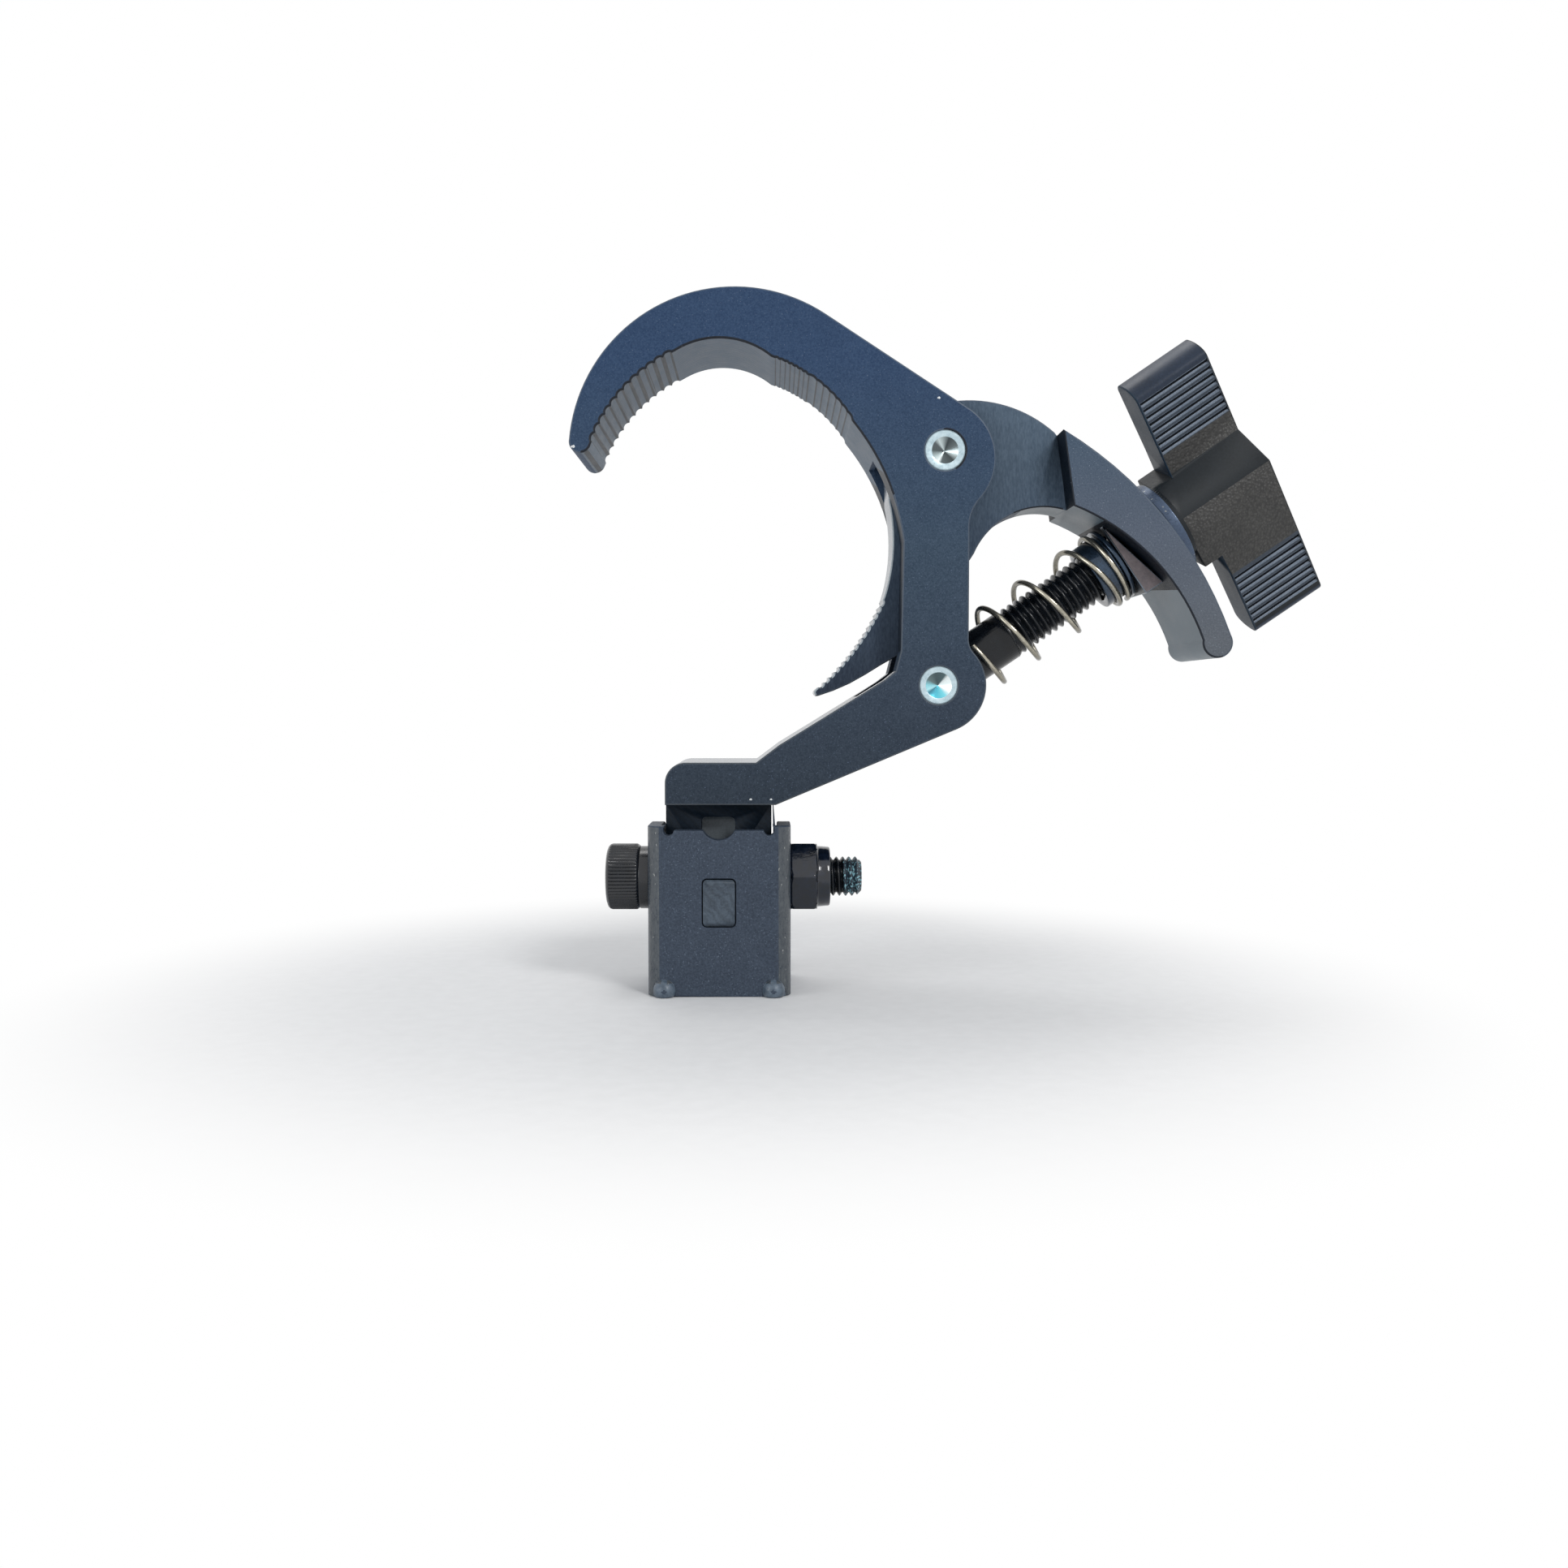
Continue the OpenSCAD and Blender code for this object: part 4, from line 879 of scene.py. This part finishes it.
# ---- bracket screw: knurled head, socket, threaded end ----------------------------------
head, end = span("bracket_screw", SCREW)
HEAD_H, SOCKET_R, KNURLS = 6.5, 3.0, 56
SHANK_R, SHANK_STOP, SCREW_THREAD_START, PATCH_L = 3.94, 9.9, 9.6, 3.6
rows = []
# Height above the head's end, radius, and whether the ring is knurled, from the socket outwards.
for z, r, cut in [(2.6, 0.02, 0), (2.6, 3.0, 0), (0.5, 3.02, 0), (0.0, 3.5, 0), (0.0, 5.5, 0),
                  (0.25, 6.15, 0), (0.6, 6.45, 0), (1.0, 6.58, 1), (5.9, 6.58, 1),
                  (6.2, 6.4, 0), (6.5, 6.2, 0), (6.5, 3.9, 0)]:
    row = []
    for k, t in enumerate(circle(KNURLS * 4)):
        radius = r
        if 2.9 < r < 3.1:
            sector = (t + math.pi / 6) % (math.pi / 3) - math.pi / 6
            radius = SOCKET_R / math.cos(sector)
        if cut:
            radius -= (0, 0.1, 0.3, 0.1)[k % 4]
        row.append(SCREW @ (Vector((radius * math.cos(t), radius * math.sin(t), head + z)) * MM))
    rows.append(row)
screw_head = piece("screw_head_knurled", surface(rows), "hook", [HEAD],
                   ["bracket_screw"], smooth=30, weighted=False)
rows = [[SCREW @ (Vector((SHANK_R * math.cos(t), SHANK_R * math.sin(t), z)) * MM)
         for t in circle(48)] for z in (head + HEAD_H - 0.2, SHANK_STOP)]
piece("screw_shank", surface(rows), "hook", [BLACK], ["bracket_screw"], smooth=30,
      weighted=False)
bm = surface(threads(SCREW, SCREW_THREAD_START, end, crest=3.93, root=3.25, pitch=1.25,
                     chamfer=1.0, around=48, per=10))
for f in bm.faces:
    if f.calc_center_median().x / MM > end - PATCH_L and f.normal.x < 0.97:
        f.material_index = 1
screw_thread = piece("screw_thread", bm, "hook", [BLACK, PATCH],
                     ["bracket_screw"], smooth=50, weighted=False)
bevelled("lock_washer_ground", "spring_washer", "hook", HEAD, 0.2)
bevelled("nut_pressed", "lock_nut", "hook", NUT, 0.35, segments=3, angle=30)
bevelled("nut_ring", "lock_nut_insert", "hook", NYLON, 0.1, segments=1)

# ---- floor, world and lights ------------------------------------------------------------
FLOOR_Z = -0.0988    # just below the bracket's base
bm = bmesh.new()
bmesh.ops.create_grid(bm, x_segments=8, y_segments=8, size=2.4)
mesh = bpy.data.meshes.new("floor")
bm.to_mesh(mesh)
bm.free()
floor = bpy.data.objects.new("floor", mesh)
floor.location = (0, 0, FLOOR_Z)
scene.collection.objects.link(floor)
FLOOR = material("floor_paper", (236, 236, 236), (244, 244, 244), (0.6, 0.7), bump=0.05,
                 blotch=8, grain=300, specular=0.2)
mesh.materials.append(FLOOR)
floor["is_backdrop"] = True


def seen_rays(tree):
    """1 for the rays that show a background: camera, glossy and transmission rays."""
    path = tree.nodes.new("ShaderNodeLightPath")
    value = path.outputs["Is Camera Ray"]
    for name in ("Is Glossy Ray", "Is Transmission Ray"):
        most = tree.nodes.new("ShaderNodeMath")
        most.operation = "MAXIMUM"
        tree.links.new(value, most.inputs[0])
        tree.links.new(path.outputs[name], most.inputs[1])
        value = most.outputs[0]
    return value


def fade_to_white(m, near, far):
    """Past a distance from its origin a surface shows as plain white."""
    tree = m.node_tree
    out = next(n for n in tree.nodes if n.type == "OUTPUT_MATERIAL")
    shader = out.inputs[0].links[0].from_socket
    place, length, ease, both, white, join = (tree.nodes.new("ShaderNode" + k) for k in (
        "TexCoord", "VectorMath", "MapRange", "Math", "Emission", "MixShader"))
    length.operation, both.operation, ease.interpolation_type = "LENGTH", "MULTIPLY", "SMOOTHSTEP"
    ease.inputs[1].default_value, ease.inputs[2].default_value = near, far
    white.inputs[1].default_value = 1.0
    tree.links.new(place.outputs["Object"], length.inputs[0])
    tree.links.new(length.outputs["Value"], ease.inputs[0])
    tree.links.new(ease.outputs[0], both.inputs[0])
    tree.links.new(seen_rays(tree), both.inputs[1])
    tree.links.new(both.outputs[0], join.inputs[0])
    tree.links.new(shader, join.inputs[1])
    tree.links.new(white.outputs[0], join.inputs[2])
    tree.links.new(join.outputs[0], out.inputs[0])


fade_to_white(FLOOR, 0.06, 0.15)

world = bpy.data.worlds.new("world")
world.use_nodes = True
scene.world = world
tree = world.node_tree
tree.nodes.clear()
back, light = tree.nodes.new("ShaderNodeBackground"), tree.nodes.new("ShaderNodeBackground")
back.inputs[0].default_value, back.inputs[1].default_value = (1, 1, 1, 1), 1.0
light.inputs[0].default_value, light.inputs[1].default_value = (0.95, 0.97, 1.0, 1), 0.55
join, out = tree.nodes.new("ShaderNodeMixShader"), tree.nodes.new("ShaderNodeOutputWorld")
tree.links.new(seen_rays(tree), join.inputs[0])
tree.links.new(light.outputs[0], join.inputs[1])
tree.links.new(back.outputs[0], join.inputs[2])
tree.links.new(join.outputs[0], out.inputs[0])


LIT = Vector((0.03, 0, -0.03))    # the point that the lamps look at


def lamp(name, at, size, power, colour=(1, 1, 1)):
    """A square area lamp that looks at the clamp."""
    data = bpy.data.lights.new(name, "AREA")
    data.shape, data.size, data.energy, data.color = "SQUARE", size, power, colour
    obj = bpy.data.objects.new(name, data)
    obj.location = at
    obj.rotation_euler = (LIT - Vector(at)).to_track_quat("-Z", "Y").to_euler()
    scene.collection.objects.link(obj)


lamp("key", (0.55, -0.85, 0.6), 0.3, 5.0)
lamp("fill", (-0.9, -0.75, 0.25), 0.5, 2.5, (0.95, 0.98, 1.0))
lamp("top", (-0.1, 0.35, 1.0), 0.4, 1.5)
scene.view_settings.view_transform = "Standard"

# ---- surface additions: paint chips, placed by rays --------------------------------------
bpy.context.view_layer.update()


def finished(obj):
    """A piece's mesh with its modifiers, where it stands."""
    shape = obj.evaluated_get(bpy.context.evaluated_depsgraph_get())
    mesh = shape.to_mesh()
    bm = bmesh.new()
    bm.from_mesh(mesh)
    bm.transform(obj.matrix_world)
    shape.to_mesh_clear()
    return bm


def on_surface(point, obj):
    """Where the ray through an image point meets a piece: place and normal. A miss takes the
    vertex nearest the ray."""
    bm = finished(obj)
    tree = BVHTree.FromBMesh(bm)
    big = max(W, H)
    ray = CAM_ROT @ Vector((point[0] - W / 2 + SHIFT_X * big, H / 2 - point[1] + SHIFT_Y * big,
                            -big * LENS / SENSOR)).normalized()
    place, normal, _, _ = tree.ray_cast(CAM_AT, ray)
    if place is None:
        best = None
        for v in bm.verts:
            t = (v.co - CAM_AT).dot(ray)
            far = (CAM_AT + ray * t - v.co).length
            if best is None or far < best[0]:
                best = (far, v.co.copy(), v.normal.copy())
        place, normal = best[1], best[2]
    bm.free()
    return place, normal


def chip(name, size):
    """A spot where the hook's coat has chipped off: a thin scale with an uneven rim."""
    place, normal = on_surface(POINTS[name], hook)
    turn = normal.to_track_quat("Z", "Y").to_matrix()
    rows = []
    for share, lift in ((1.0, -0.03), (0.82, 0.012), (0.3, 0.016)):
        rows.append([place + turn @ Vector((
            math.cos(t) * size * share * (1 + 0.22 * math.sin(3 * t + size * 9)) * MM,
            math.sin(t) * size * share * (0.7 + 0.18 * math.cos(5 * t)) * MM, lift * MM))
            for t in circle(14)])
    return piece(name, surface(rows), "hook", [CHIP], smooth=60, weighted=False)


chips = {name: chip(name, size) for name, size in (
    ("chip_boss", 0.34), ("chip_foot_a", 0.3), ("chip_foot_b", 0.26), ("chip_tip", 0.42))}


# ---- how far each thing shows from its image point ---------------------------------------
def shown(obj):
    """Where the vertices of a finished piece show in the image."""
    bm = finished(obj)
    out = [pixel(v.co) for v in bm.verts]
    bm.free()
    return out


def report():
    """For each image point, how far in x and y its thing shows from it."""
    made = [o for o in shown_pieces() if o.type == "MESH"]
    every = [p for o in made for p in shown(o)]
    xs, ys = [p[0] for p in every], [p[1] for p in every]
    found = {"left": (min(xs), None), "right": (max(xs), None),
             "top": (None, min(ys)), "bottom": (None, max(ys))}

    def centre(obj, near=None):
        """The middle of what shows of a piece, or of its part nearer than a y."""
        bm = finished(obj)
        p = [pixel(v.co) for v in bm.verts if near is None or v.co.y < near]
        bm.free()
        return ((min(q[0] for q in p) + max(q[0] for q in p)) / 2,
                (min(q[1] for q in p) + max(q[1] for q in p)) / 2)

    found["upper_pin"] = centre(upper_pin, -0.0124)
    found["lower_pin"] = centre(lower_pin, -0.0124)
    tip = [v.co for v in hook.data.vertices if v.co.y < -0.0121 and v.co.x < -0.024]
    found["hook_tip"] = pixel(min(tip, key=lambda co: co.z))
    knob_points = shown(knob)
    found["knob_upper_tip"] = min(knob_points, key=lambda p: p[1])
    found["knob_lower_corner"] = max(knob_points, key=lambda p: p[0])
    corner = POINTS["knob_middle_corner"]
    found["knob_middle_corner"] = min(knob_points, key=lambda p: (p[0] - corner[0]) ** 2
                                      + (p[1] - corner[1]) ** 2)
    arm = [pixel(v.co) for v in lever.data.vertices if v.co.y < -0.0121 and v.co.x > 0.08]
    found["lever_tip"] = max(arm, key=lambda p: p[0])
    jaw = [pixel(v.co) for v in lever.data.vertices if v.co.y < 0 and v.co.x < 0.03]
    found["jaw_tip"] = min(jaw, key=lambda p: p[0])
    found["screw_head"] = (min(p[0] for p in shown(screw_head)), None)
    found["screw_end"] = (max(p[0] for p in shown(screw_thread)), None)
    key = [pixel(v.co) for v in hook.data.vertices
           if v.co.y < -0.0122 and v.co.z < -0.07]
    if key:
        found["key"] = (sum(p[0] for p in key) / len(key), sum(p[1] for p in key) / len(key))
    for name, obj in chips.items():
        found[name] = centre(obj)
    out = {}
    for name, (x, y) in POINTS.items():
        got = found.get(name)
        if got is None:
            out[name] = None
            continue
        out[name] = [None if x is None or got[0] is None else round(got[0] - x, 2),
                     None if y is None or got[1] is None else round(got[1] - y, 2)]
    return out


report()

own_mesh(spring)
